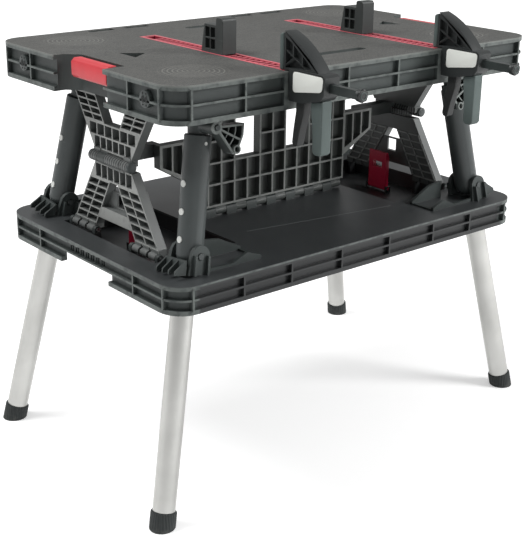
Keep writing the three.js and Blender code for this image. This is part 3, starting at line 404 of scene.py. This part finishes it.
# The posts: black tubes that stand on pins in the base's yokes and swing inwards to fold.
# Each is a dark moulding with three pale plugs down its outer side and one by its neck.
# The fan-shaped locking levers turn on a pin near the neck and catch under the top.
post_finish = moulded("post_moulding", tint(68, 73, 73), 0.42, 0.00008)
lever_finish = moulded("lever_moulding", tint(58, 63, 62), 0.46)
swings = {joint["name"]: Vector(joint["pos_m"]) for joint in frame["joints"] if "pos_m" in joint}
front_pivot = swings["lever_swing_front_right"]
lever_lean = 0.114
lever_level = 0.9936
lever_slope = 0.1133
lever_out = (abs(lever_finish.y + bench_shift) + front_pivot.y + bench_shift) * lever_level
lever_out = lever_out + (lever_finish.z - front_pivot.z) * lever_slope
# Painted highlight: a pale band along the lever's outer edge, broken up by noise
lever_edge_highlight = lever_out.step(0.0466, 0.0474) * lever_finish.noise(80, 4).step(0.05, 0.5)
lever_finish.set(Base_Color=lever_finish.mix(lever_edge_highlight * 0.7, lever_finish.tone, tint(140, 146, 143)))
for corner in corner_names:
    post = dressed(f"post_dressed_{corner}", f"post_{corner}", post_finish, 0.0006)
    lever = dressed(f"lever_dressed_{corner}", f"lock_lever_{corner}", lever_finish, 0.0004)

# One curved rib of a lever: part of a ring, bent round the lever's pin
fan_half = math.radians(27)
fan_top = math.radians(2)
fan_radius = 0.0385
fan_thick = 1.06
fan_deep = 0.02
fan_sizes = [1, 0.64]
fan = started(bpy.ops.mesh.primitive_circle_add, "fan_model", vertices=96, radius=fan_radius)
bpy.ops.object.mode_set(mode="EDIT")
bpy.ops.mesh.select_mode(type="VERT")
bpy.ops.mesh.select_all(action="DESELECT")
bpy.ops.object.mode_set(mode="OBJECT")
for point in fan.data.vertices:
    point.select = abs(math.atan2(point.co.y, point.co.x)) > fan_half
bpy.ops.object.mode_set(mode="EDIT")
bpy.ops.mesh.delete(type="VERT")
bpy.ops.mesh.select_all(action="SELECT")
bpy.ops.mesh.extrude_region_move()
bpy.ops.transform.resize(value=(fan_thick, fan_thick, 1), center_override=(0, 0, 0))
bpy.ops.mesh.select_all(action="SELECT")
bpy.ops.mesh.extrude_region_move(TRANSFORM_OT_translate={"value": (0, 0, fan_deep)})
bpy.ops.mesh.select_all(action="SELECT")
bpy.ops.mesh.normals_make_consistent(inside=False)
rounded(fan, 0.0004)
lever_face = 0.0275
for corner in corner_names:
    sx = -1 if corner.endswith("left") else 1
    sy = -1 if corner.startswith("front") else 1
    pivot = swings[f"lever_swing_{corner}"]
    pin = Vector((0, sy, lever_lean)).normalized()
    level = Vector((-sx, 0, 0))
    drop = pin.cross(level)
    if drop.z > 0:
        drop = -drop
    middle = level * math.cos(fan_half + fan_top) + drop * math.sin(fan_half + fan_top)
    turn = Matrix((middle, pin.cross(middle), pin)).transposed().to_4x4()
    for number, size in enumerate(fan_sizes):
        place = Matrix.Translation(pivot + pin * lever_face) @ turn @ Matrix.Diagonal((size, size, 1, 1))
        fixed(fan, f"lever_rib_{corner}_{number + 1}", place, f"lever_{corner}", "dark", lever_finish)
bpy.data.objects.remove(fan)

# One plug: a short disc, dished on its face
plug_finish = moulded("plug_pale", tint(222, 224, 220), 0.45, 0.00004, 0.03)
plug_radius = 0.0056
plug_deep = 0.0034
plug = started(bpy.ops.mesh.primitive_cylinder_add, "plug_model", vertices=28,
               radius=plug_radius, depth=plug_deep)
pick(plug, lambda face: face.normal.z > 0.9)
bpy.ops.mesh.inset(thickness=0.0011)
bpy.ops.transform.translate(value=(0, 0, -0.0004))
rounded(plug, 0.0005)
post_radius = 0.0229
post_lean = Vector((0.185, 0.114))
post_at_deck = Vector((0.3505, 0.2093))
plug_rows = [(0.572, "side", 1), (0.527, "side", 1), (0.482, "side", 1), (0.638, "front", 0.5)]
for corner in corner_names:
    sx = -1 if corner.endswith("left") else 1
    sy = -1 if corner.startswith("front") else 1
    for number, (z, facing, size) in enumerate(plug_rows):
        inward = post_lean * (z - deck_z)
        out_x = sx * (post_at_deck.x - inward.x)
        out_y = sy * (post_at_deck.y - inward.y)
        axis = Vector((out_x, out_y - bench_shift, z))
        out = Vector((sx, 0, post_lean.x)) if facing == "side" else Vector((0, sy, post_lean.y))
        out.normalize()
        turn = out.to_track_quat("Z", "Y").to_matrix().to_4x4()
        place = Matrix.Translation(axis + out * post_radius) @ turn @ Matrix.Scale(size, 4)
        fixed(plug, f"post_plug_{corner}_{number + 1}", place, f"post_{corner}", "aluminium", plug_finish)
bpy.data.objects.remove(plug)


# The end panels: two ribbed halves on each side, hinged at the waist, at the deck and at the top.
# Grey polypropylene mouldings with open rib pockets and a bay let in, on zinc-plated steel pins.
# The arm links turn on the waist pins and lap onto the wings of the web.
panel_finish = moulded("panel_moulding", tint(106, 109, 108), 0.46)
panel_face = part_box("left_waist_pin")[1].x
rib_plane = abs(panel_finish.x) - (abs(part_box("left_waist_pin")[0].x + panel_face) / 2 - 0.002)
panel_rib = rib_plane.step(-0.0007, -0.0003) * rib_plane.step(0.0007, 0.0003)
# Painted highlight: the outer faces of the ribs are painted paler, broken up by noise
panel_rib_highlight = panel_rib * panel_finish.noise(80, 4).step(0.05, 0.5)
waist_z = frame["joints"][1]["pos_m"][2]
at_waist = abs(panel_finish.z - waist_z).step(0.0106, 0.0098)
waist_ring_pitch = 0.0068
rings = (panel_finish.y * (2 * math.pi / waist_ring_pitch)).sine().step(-0.35, 0.1)
# Painted shade: the inner faces of the panels are darkened
shaded_inner_face = abs(panel_finish.x).step(0.3412, 0.3404)
panel_tone = panel_finish.mix(panel_rib_highlight * 0.7, panel_finish.tone, tint(168, 170, 167))
panel_tone = panel_finish.mix(shaded_inner_face * 0.75, panel_tone, tint(52, 55, 54))
panel_finish.set(Base_Color=panel_finish.mix(at_waist * (1 - rings) * 0.85, panel_tone, tint(26, 28, 28)))
panel_finish.bump(panel_finish.grain * 0.1 + at_waist * rings, 0.0011, 0.7)
# Painted highlight: the inner ribs get a paler copy of the panel's grey
inner_rib_highlight_finish = moulded("inner_rib_highlight_moulding", tint(136, 139, 137), 0.46)
arm_finish = moulded("arm_moulding", tint(66, 70, 69), 0.48)
pin_finish = Finish("zinc_steel", Metallic=1.0)
turned = pin_finish.noise(700, 3, (1, 0.05, 1))
pin_finish.set(
    Base_Color=pin_finish.mix(turned, tint(120, 122, 122), tint(158, 160, 160)),
    Roughness=0.34 + (turned - 0.5) * 0.2,
)
for side in ["left", "right"]:
    for half in ["lower", "upper"]:
        panel = dressed(f"{side}_{half}_panel_dressed", f"{side}_{half}_panel", panel_finish, 0.0005)
    bay = dressed(f"{side}_panel_bay_dressed", f"{side}_panel_bay", panel_finish, 0.0005)
    for place in ["front_base", "rear_base", "waist", "front_top", "rear_top"]:
        pin = dressed(f"{side}_{place}_pin_dressed", f"{side}_{place}_pin", pin_finish, 0.0004)
    arm = dressed(f"{side}_arm_dressed", f"{side}_arm_link", arm_finish, 0.0006)

# The ribs of the inner faces: one straight rib, copied up both legs of each half and across them
inner_rib = started(bpy.ops.mesh.primitive_cube_add, "inner_rib_model", size=1)
rib_wide = 0.0028
rib_high = 0.0016
leg_foot = {"inside": 0.068, "outside": 0.1285, "rise": 0.012}
leg_neck = {
    "lower": {"inside": 0.0165, "outside": 0.0745, "rise": 0.098},
    "upper": {"inside": 0.029, "outside": 0.0855, "rise": 0.08},
}
pin_heights = {"lower": (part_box("left_front_base_pin"), 1), "upper": (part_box("left_front_top_pin"), -1)}
panel_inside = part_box("left_lower_panel")[1].x
leg_steps = 6


def leg_point(half, share, across):
    """A point up a leg, from foot to neck by its share and from the inner to the outer edge by across."""
    neck = leg_neck[half]
    inside = leg_foot["inside"] + (neck["inside"] - leg_foot["inside"]) * share
    outside = leg_foot["outside"] + (neck["outside"] - leg_foot["outside"]) * share
    rise = leg_foot["rise"] + (neck["rise"] - leg_foot["rise"]) * share
    return Vector((inside + (outside - inside) * across, rise))


for side, sx in [("left", -1), ("right", 1)]:
    for half, (pin_box, upwards) in pin_heights.items():
        lines = [(leg_point(half, 0, across), leg_point(half, 1, across)) for across in [0, 0.5, 1]]
        for step in range(leg_steps + 1):
            share = step / leg_steps
            lines.append((leg_point(half, share, 0), leg_point(half, share, 1)))
        foot_z = (pin_box[0].z + pin_box[1].z) / 2
        bpy.ops.object.select_all(action="DESELECT")
        for start, end in lines:
            for sy in [-1, 1]:
                low = Vector((0, sy * start.x - bench_shift, foot_z + upwards * start.y))
                high = Vector((0, sy * end.x - bench_shift, foot_z + upwards * end.y))
                along = (high - low).normalized()
                off_face = Vector((1, 0, 0))
                turn = Matrix((off_face, along, off_face.cross(along))).transposed().to_4x4()
                middle = (low + high) / 2 + Vector((sx * (abs(panel_inside) - rib_high / 2), 0, 0))
                size = Matrix.Diagonal((rib_high, (high - low).length + rib_wide, rib_wide, 1))
                rib = bpy.data.objects.new(f"{side}_{half}_inner_ribs", inner_rib.data.copy())
                rib.data.transform(Matrix.Translation(middle) @ turn @ size)
                bpy.context.scene.collection.objects.link(rib)
                rib.select_set(True)
                bpy.context.view_layer.objects.active = rib
        bpy.ops.object.join()
        ribs = bpy.context.object
        ribs.data.materials.append(inner_rib_highlight_finish.material)
        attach(ribs, f"{side}_{half}")
bpy.data.objects.remove(inner_rib)

# One waist cap: a round button that closes the end of a waist pin
cap_radius = 0.0098
cap_deep = 0.004
cap = started(bpy.ops.mesh.primitive_cylinder_add, "cap_model", vertices=32,
              radius=cap_radius, depth=cap_deep)
pick(cap, lambda face: face.normal.z > 0.9)
bpy.ops.mesh.inset(thickness=0.003)
bpy.ops.transform.translate(value=(0, 0, 0.0012))
rounded(cap, 0.0008, 3)
cap_out = 0.0016
for side in ["left", "right"]:
    waist_low, waist_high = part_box(f"{side}_waist_pin")
    for end, y, way in [("front", waist_low.y - cap_out, 1), ("rear", waist_high.y + cap_out, -1)]:
        middle = Vector(((waist_low.x + waist_high.x) / 2, y, waist_z))
        place = Matrix.Translation(middle) @ Matrix.Rotation(way * math.pi / 2, 4, "X")
        fixed(cap, f"{side}_{end}_waist_cap", place, f"{side}_lower", "dark", post_finish)
bpy.data.objects.remove(cap)


# The web: a ribbed panel with two windows and two wings, hinged on the deck by a row of knuckles.
# Grey polypropylene like the end panels, a little darker, with the rib faces painted paler as a highlight, on
# one long steel pin.
web_finish = moulded("web_moulding", tint(84, 88, 86), 0.46)
web_plane = web_finish.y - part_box("web_panel")[0].y
# Painted highlight: the outer faces of the ribs are painted paler, broken up by noise
web_rib_highlight = web_plane.step(0.0007, 0.0003) * web_finish.noise(80, 4).step(0.05, 0.5)
web_finish.set(Base_Color=web_finish.mix(web_rib_highlight * 0.7, web_finish.tone, tint(158, 161, 158)))
web = dressed("web_dressed", "web_panel", web_finish, 0.0005)
web_pin = dressed("web_pin_dressed", "web_pin", pin_finish, 0.0004)


# The red latches: flat tongues that stand in the trays of the base and hold the folded panels.
# Red polypropylene, semi-gloss, each on two stub pins in a pair of lugs.
latch_finish = moulded("latch_red", tint(188, 26, 62), 0.36, 0.00005, 0.08)
for side in ["left", "right"]:
    latch = dressed(f"{side}_latch_dressed", f"{side}_base_latch", latch_finish, 0.0008)


# The top: the work surface, a ribbed moulding that is open below, with two side notches and slots.
# Grey polypropylene with a rough, finely grained face, a lip and rim edges painted paler as a highlight and
# four ring patterns.
# It turns on the upper pins of the end panels.
top_low, top_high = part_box("top_panel")
ring_x = 0.315
ring_y = 0.18
ring_pitch = 0.008
weave_pitch = 0.0034

top_finish = moulded("top_moulding", shell_grey, 0.46)
across_x = abs(top_finish.x)
across_y = abs(top_finish.y + bench_shift)
face = top_finish.z.step(top_high.z - 0.0009, top_high.z - 0.0002)

outside = rim_depth(top_finish, shell_half_x, shell_half_y, shell_radius)
# Painted highlight: a paler band round the lip of the face
lip = outside.step(-0.004, -0.0008) * top_finish.z.step(top_high.z - 0.004, top_high.z - 0.001)

speck = top_finish.noise(520, 4)
streak = top_finish.noise(180, 4, (0.12, 1, 1))
cloud = top_finish.noise(5, 5)
from_x = across_x - ring_x
from_y = across_y - ring_y
radius = (from_x * from_x + from_y * from_y).root()
rings = (radius * (2 * math.pi / ring_pitch)).sine().step(0.35, 0.85) * radius.step(0.062, 0.05) * face
weave_turn = 2 * math.pi / weave_pitch
weave = (top_finish.x * weave_turn).sine() * (top_finish.y * weave_turn).sine()
mottle = speck * 0.6 + streak * 0.2 + weave * 0.1 + 0.1
face_tone = top_finish.mix(mottle.step(0.38, 0.62), tint(56, 57, 56), tint(98, 98, 95))
face_tone = top_finish.mix(cloud.step(0.35, 0.75) * 0.35, face_tone, tint(74, 74, 71))
face_tone = top_finish.mix(rings * 0.4, face_tone, tint(140, 140, 135))
# Painted highlight: a pale band on the outer faces of the rim and ribs, broken up by noise
top_edge_highlight = outside.step(*highlight_band) * top_finish.noise(60, 4).step(0.25, 0.6)
top_tone = top_finish.mix(face, top_finish.mix(top_edge_highlight * 0.62, top_finish.tone, highlight_grey), face_tone)
top_tone = top_finish.mix(lip * 0.5, top_tone, tint(132, 135, 131))
top_finish.set(Base_Color=top_tone, Roughness=0.5 + face * 0.14 + (cloud - 0.5) * 0.1)
top_finish.bump(top_finish.grain * 0.5 + (speck + weave * 0.5) * face * 1.5 + rings * 1.6, 0.00026, 0.8)
top = dressed("top_dressed", "top_panel", top_finish, 0.0006)

# One vent boss of the end walls: a flat disc over the middle rib, with two ringed ovals and four dimples; the
# hollows of the ovals and the dimples are dark discs that paint their shade
boss_finish = moulded("boss_moulding", shell_grey, 0.46)
boss_radius = 0.014
boss_deep = 0.0084
boss_face = boss_deep / 2
boss_z = 0.7265
boss_rows = [("rear", 0.178), ("front", -0.201)]
oval_stretch = (1.2, 0.66, 1)
oval_aside = 0.0045
dimple_away = 0.0092
boss = started(bpy.ops.mesh.primitive_cylinder_add, "boss_model", vertices=32,
               radius=boss_radius, depth=boss_deep)
rounded(boss, 0.0006)
oval = started(bpy.ops.mesh.primitive_torus_add, "oval_model", major_segments=28, minor_segments=8,
               major_radius=0.0046, minor_radius=0.0009)
pick(oval, lambda face: True)
bpy.ops.transform.resize(value=oval_stretch)
rounded(oval, 0.0001)
# Painted shade: a thin dark disc in each oval and at each dimple stands for the shade in the hollow
hollow = started(bpy.ops.mesh.primitive_cylinder_add, "hollow_model", vertices=24,
                 radius=0.0041, depth=0.001)
pick(hollow, lambda face: True)
bpy.ops.transform.resize(value=oval_stretch)
rounded(hollow, 0.0002)
dimple = started(bpy.ops.mesh.primitive_cylinder_add, "dimple_model", vertices=16,
                 radius=0.0015, depth=0.001)
rounded(dimple, 0.0002)
for side, sx in [("left", -1), ("right", 1)]:
    for end, y in boss_rows:
        wall = Matrix.Translation((sx * (shell_half_x - boss_face), y - bench_shift, boss_z))
        face_out = wall @ Matrix.Rotation(sx * math.pi / 2, 4, "Y")
        name = f"{side}_{end}"
        fixed(boss, f"{name}_boss", face_out, "top", "shell", boss_finish)
        for number, aside in enumerate([-oval_aside, oval_aside]):
            place = face_out @ Matrix.Translation((0, aside, boss_face))
            fixed(oval, f"{name}_oval_{number + 1}", place, "top", "shell", lever_finish)
            fixed(hollow, f"{name}_hollow_{number + 1}", place, "top", "dark", shade_finish)
            for way in [-1, 1]:
                place = face_out @ Matrix.Translation((way * dimple_away, aside, boss_face))
                level_name = "low" if way * sx > 0 else "high"
                dimple_name = f"{name}_dimple_{number + 1}_{level_name}"
                fixed(dimple, dimple_name, place, "top", "dark", shade_finish)
for model in [boss, oval, hollow, dimple]:
    bpy.data.objects.remove(model)


# The red tracks: channels let into the top, in which the stops slide.
# Semi-gloss red polypropylene with a paler flange on the face and a ladder of rungs just below it; the
# channel below the face is painted dark red as shade.
track_finish = moulded("track_red", tint(206, 84, 96), 0.4, 0.00005, 0.06)
track_low, track_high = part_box("left_track")
# Painted shade: the channel below the face is darkened
channel_shade = track_finish.z.step(track_high.z - 0.0004, track_high.z - 0.0012)
track_finish.set(Base_Color=track_finish.mix(channel_shade * 0.85, track_finish.tone, tint(120, 26, 48)))
for side in ["left", "right"]:
    track = dressed(f"{side}_track_dressed", f"{side}_track", track_finish, 0.0005)

# One flange: a thin flat frame round the mouth of the channel
flange_finish = moulded("flange_red", tint(208, 92, 104), 0.4, 0.00004, 0.05)
flange_wide = 0.0365
flange_rim = 0.0062
flange_over = 0.004
flange_thick = 0.0003
track_long = track_high.y - track_low.y
flange = started(bpy.ops.mesh.primitive_plane_add, "flange_model", size=1)
pick(flange, lambda face: True)
bpy.ops.transform.resize(value=(flange_wide, track_long + flange_over, 1))
bpy.ops.mesh.inset(thickness=flange_rim)
bpy.ops.mesh.delete(type="FACE")
bpy.ops.mesh.select_all(action="SELECT")
bpy.ops.mesh.extrude_region_move(TRANSFORM_OT_translate={"value": (0, 0, flange_thick)})
bpy.ops.mesh.select_all(action="SELECT")
bpy.ops.mesh.normals_make_consistent(inside=False)
rounded(flange, 0.0001)

# The ladder: one rung, rounded along its top and repeated along the channel
rung_pitch = 0.0144
rung_size = (track_high.x - track_low.x - 0.0066, 0.0062, 0.0016)
rung_margin = 0.024
rung_first = 0.014
rung_below = 0.0014
rung_count = int((track_long - rung_margin) / rung_pitch)
rung_finish = moulded("rung_red", tint(176, 74, 86), 0.45, 0.00004, 0.05)
rung = started(bpy.ops.mesh.primitive_cube_add, "rung_model", size=1)
pick(rung, lambda face: True)
bpy.ops.transform.resize(value=rung_size)
rounded(rung, 0.0005)
row = rung.modifiers.new("row of rungs", "ARRAY")
row.count = rung_count
row.use_relative_offset = False
row.use_constant_offset = True
row.constant_offset_displace = (0, rung_pitch, 0)
bpy.ops.object.modifier_apply(modifier=row.name)
for side in ["left", "right"]:
    low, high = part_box(f"{side}_track")
    middle = Vector(((low.x + high.x) / 2, (low.y + high.y) / 2, top_high.z))
    fixed(flange, f"{side}_track_flange", Matrix.Translation(middle), "top", "red", flange_finish)
    start = Vector((middle.x, low.y + rung_first, top_high.z - rung_below))
    fixed(rung, f"{side}_track_rungs", Matrix.Translation(start), "top", "red", rung_finish)
for model in [flange, rung]:
    bpy.data.objects.remove(model)


# The stops: black blocks with hollow flanks, which slide along the tracks and hold the work.
# Glass-filled nylon mouldings, cut off level with the face, where the foot is out of sight.
stop_finish = moulded("stop_moulding", tint(58, 62, 61), 0.48)
stop_cut = (0, 0, top_high.z + 0.0004)
for side in ["left", "right"]:
    stop = dressed(f"{side}_stop_dressed", f"{side}_dog", stop_finish, 0.0008)
    bpy.ops.object.mode_set(mode="EDIT")
    bpy.ops.mesh.select_all(action="SELECT")
    bpy.ops.mesh.bisect(plane_co=stop_cut, plane_no=(0, 0, 1), clear_inner=True, use_fill=True)
    bpy.ops.object.mode_set(mode="OBJECT")


# The red grips: bars in the side notches that are pulled to let the bench fold.
# Semi-gloss red polypropylene, each on two stub pins in the ears of the top.
grip_finish = moulded("grip_red", tint(206, 58, 66), 0.36, 0.00005, 0.08)
for side in ["left", "right"]:
    grip = dressed(f"{side}_grip_dressed", f"{side}_notch_grip", grip_finish, 0.0012)


# The quick clamps: black bodies with an arched jaw, on bars that stick out of the top's front edge.
# The body is black nylon, the jaw pad and the grip are soft grey, and the trigger and the bar are black.
clamp_finish = moulded("clamp_moulding", tint(42, 45, 45), 0.46)
handle_finish = moulded("handle_soft_grey", tint(84, 95, 93), 0.6)
trigger_finish = moulded("trigger_moulding", tint(36, 38, 38), 0.5)
bar_finish = moulded("bar_black", tint(44, 50, 49), 0.4, 0.00005)
for side in ["left", "right"]:
    for part, finish, slot, bevel in [
        ("clamp_body", clamp_finish, "dark", 0.0009), ("clamp_pad", handle_finish, "rubber", 0.0026),
        ("clamp_grip", handle_finish, "handle", 0.0022), ("clamp_trigger", trigger_finish, "handle", 0.0012),
        ("clamp_bar", bar_finish, "steel", 0.0006),
    ]:
        piece = dressed(f"{side}_{part}_dressed", f"{side}_{part}", finish, bevel)

# One crown for the arched jaw: part of a disc, with its chord on the jaw's sloping edge
front_y = top_low.y
crown_start = Vector((front_y + 0.009, top_high.z + 0.062))
crown_end = Vector((front_y - 0.071, top_high.z + 0.005))
crown_rise = 0.0075
crown_deep = 0.026
crown_sunk = 0.0015
chord = crown_end - crown_start
crown_radius = (chord.length ** 2 / 4 + crown_rise ** 2) / (2 * crown_rise)
chord_at = crown_radius - crown_rise
crown = started(bpy.ops.mesh.primitive_circle_add, "crown_model", vertices=144,
                radius=crown_radius, fill_type="NGON")
bpy.ops.object.mode_set(mode="EDIT")
bpy.ops.mesh.select_all(action="SELECT")
bpy.ops.mesh.bisect(plane_co=(0, chord_at - crown_sunk, 0), plane_no=(0, 1, 0), clear_inner=True)
bpy.ops.mesh.select_all(action="SELECT")
bpy.ops.transform.translate(value=(0, 0, -crown_deep / 2))
bpy.ops.mesh.extrude_region_move(TRANSFORM_OT_translate={"value": (0, 0, crown_deep)})
bpy.ops.mesh.select_all(action="SELECT")
bpy.ops.mesh.normals_make_consistent(inside=False)
rounded(crown, 0.0009)
slope = Vector((0, chord.x, chord.y)).normalized()
rise = Vector((0, chord.y, -chord.x)).normalized()
crown_turn = Matrix((slope, rise, slope.cross(rise))).transposed().to_4x4()
for side in ["left", "right"]:
    low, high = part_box(f"{side}_clamp_body")
    middle = (crown_start + crown_end) / 2
    centre = Vector(((low.x + high.x) / 2, middle.x, middle.y)) - rise * chord_at
    place = Matrix.Translation(centre) @ crown_turn
    fixed(crown, f"{side}_clamp_crown", place, f"{side}_clamp", "dark", clamp_finish)
bpy.data.objects.remove(crown)

# One bare plate for the flanks: a pale card, cut back below at the front, with rounded corners
plate_finish = moulded("plate_pale", tint(232, 234, 228), 0.4, 0.00003, 0.02)
plate_low = Vector((front_y - 0.085, top_high.z - 0.031))
plate_high = Vector((front_y - 0.014, top_high.z + 0.003))
plate_cut = (0.003, 0.01, 0)
plate_corner = 0.006
plate_thick = 0.0009
plate = started(bpy.ops.mesh.primitive_plane_add, "plate_model", size=1)
pick(plate, lambda face: True)
bpy.ops.transform.resize(value=(plate_high.x - plate_low.x, plate_high.y - plate_low.y, 1))
bpy.ops.mesh.select_mode(type="VERT")
bpy.ops.mesh.select_all(action="DESELECT")
bpy.ops.object.mode_set(mode="OBJECT")
for point in plate.data.vertices:
    point.select = point.co.x < 0 and point.co.y < 0
bpy.ops.object.mode_set(mode="EDIT")
bpy.ops.transform.translate(value=plate_cut)
bpy.ops.mesh.select_all(action="SELECT")
bpy.ops.mesh.bevel(offset=plate_corner, segments=4, affect="VERTICES")
bpy.ops.mesh.select_all(action="SELECT")
bpy.ops.mesh.extrude_region_move(TRANSFORM_OT_translate={"value": (0, 0, plate_thick)})
bpy.ops.mesh.select_all(action="SELECT")
bpy.ops.mesh.normals_make_consistent(inside=False)
rounded(plate, 0.0003)

# One star knob for the bar ends, with a grey ring let into its face
star_radius = 0.0092
star_deep = 0.006
star_out = 0.0012
lobe = 2 * math.pi / 6


def on_lobe(face):
    """Whether a face of the star's wall stands out as a lobe."""
    return abs(face.normal.z) < 0.1 and math.atan2(face.center.y, face.center.x) % lobe < lobe / 2


star = started(bpy.ops.mesh.primitive_cylinder_add, "star_model", vertices=24,
               radius=star_radius, depth=star_deep)
pick(star, on_lobe)
bpy.ops.mesh.extrude_region_move()
bpy.ops.transform.resize(value=(1.16, 1.16, 0.8))
rounded(star, 0.0005)
ring = started(bpy.ops.mesh.primitive_torus_add, "ring_model", major_segments=32, minor_segments=8,
               major_radius=0.0056, minor_radius=0.0009)
rounded(ring, 0.0001)
for side in ["left", "right"]:
    low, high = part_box(f"{side}_clamp_body")
    for flank, x, turn in [("left", low.x, -1), ("right", high.x, 1)]:
        middle = Vector((x, (plate_low.x + plate_high.x) / 2, (plate_low.y + plate_high.y) / 2))
        upright = Matrix(((0, 0, turn, 0), (1, 0, 0, 0), (0, 1, 0, 0), (0, 0, 0, 1)))
        fixed(plate, f"{side}_clamp_{flank}_plate", Matrix.Translation(middle) @ upright,
              f"{side}_clamp", "aluminium", plate_finish)
    low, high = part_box(f"{side}_clamp_bar")
    bar_end = Vector(((low.x + high.x) / 2, low.y - star_out, (low.z + high.z) / 2))
    face_front = Matrix.Translation(bar_end) @ Matrix.Rotation(math.pi / 2, 4, "X")
    fixed(star, f"{side}_bar_star", face_front, "top", "dark", clamp_finish)
    on_star = face_front @ Matrix.Translation((0, 0, star_deep / 2))
    fixed(ring, f"{side}_bar_ring", on_star, "top", "handle", handle_finish)
for model in [plate, star, ring]:
    bpy.data.objects.remove(model)


# The stage: a pale seamless floor that keeps a soft shadow, two soft lamps and a pale world.
# None of it belongs to the bench.
floor_near = 0.8
floor_far = 4
floor_glow = 0.42
floor_glow_more = 0.5
world_light = 0.36
world_shine = 0.14
floor_finish = Finish("pale_floor", Base_Color=(0.92, 0.92, 0.92, 1), Roughness=0.95, Specular_IOR_Level=0,
                      Emission_Strength=1)
ray_kinds = ["Camera", "Glossy", "Transmission"]
rays = [floor_finish.node("ShaderNodeLightPath", {}, {}, f"Is {kind} Ray") for kind in ray_kinds]
away = (floor_finish.x * floor_finish.x + floor_finish.y * floor_finish.y).root()
glow = floor_glow + away.step(floor_near, floor_far) * floor_glow_more
floor_finish.set(Emission_Color=(rays[0] + rays[1] + rays[2]) * glow)
bpy.ops.object.select_all(action="DESELECT")
bpy.ops.mesh.primitive_plane_add(size=40, location=(0, 0, -0.0005))
floor = bpy.context.object
floor.name = "floor"
floor.data.materials.append(floor_finish.material)


class Room(Finish):
    """The nodes of a world, with the same maths as a finish."""

    def __init__(self, world):
        self.tree = world.node_tree


world = bpy.data.worlds.new("pale_room")
bpy.context.scene.world = world
world.use_nodes = True
room = Room(world)
seen = [room.node("ShaderNodeLightPath", {}, {}, f"Is {kind} Ray") for kind in ray_kinds]
background = world.node_tree.nodes["Background"]
background.inputs["Color"].default_value = (1, 1, 1, 1)
strength = world_light + seen[0] * (1 - world_light) + (seen[1] + seen[2]) * world_shine
room.join(strength, background.inputs["Strength"])


def lamp(name, place, aim, size, power):
    """A round soft lamp that faces its aim."""
    light = bpy.data.lights.new(name, "AREA")
    light.shape = "DISK"
    light.size = size
    light.energy = power
    holder = bpy.data.objects.new(name, light)
    holder.location = place
    holder.rotation_euler = (Vector(aim) - Vector(place)).to_track_quat("-Z", "Y").to_euler()
    bpy.context.scene.collection.objects.link(holder)


lamp("key_lamp", (2.4, -3.0, 2.4), (0, 0, 0.5), 1.6, 130)
lamp("top_lamp", (-1.6, 1.2, 3.2), (0, 0, 0.5), 1.8, 80)


# The camera: the place, turn and focal length at which the bench's corners fall on the photograph's.
# They were solved from the corners of the top and the base and from the feet.
photo_wide = 525
photo_high = 536
sensor_mm = 36
focal_px = 1157.6
yaw = math.radians(40.017)
pitch = math.radians(20.367)
roll = math.radians(0.7426)
eye = Vector((-1.4137, -1.6667 - bench_shift, 1.105))
ahead = Vector((math.sin(yaw) * math.cos(pitch), math.cos(yaw) * math.cos(pitch), -math.sin(pitch)))
level = Vector((math.cos(yaw), -math.sin(yaw), 0))
upright = level.cross(ahead)
right = level * math.cos(roll) + upright * math.sin(roll)
up = upright * math.cos(roll) - level * math.sin(roll)
lens = bpy.data.cameras.new("photo_camera")
lens.sensor_width = sensor_mm
lens.lens = focal_px * sensor_mm / max(photo_wide, photo_high)
lens.clip_end = 100
camera = bpy.data.objects.new("photo_camera", lens)
camera.matrix_world = Matrix.Translation(eye) @ Matrix((right, up, -ahead)).transposed().to_4x4()
bpy.context.scene.collection.objects.link(camera)
bpy.context.scene.camera = camera
bpy.context.scene.view_settings.view_transform = "Standard"
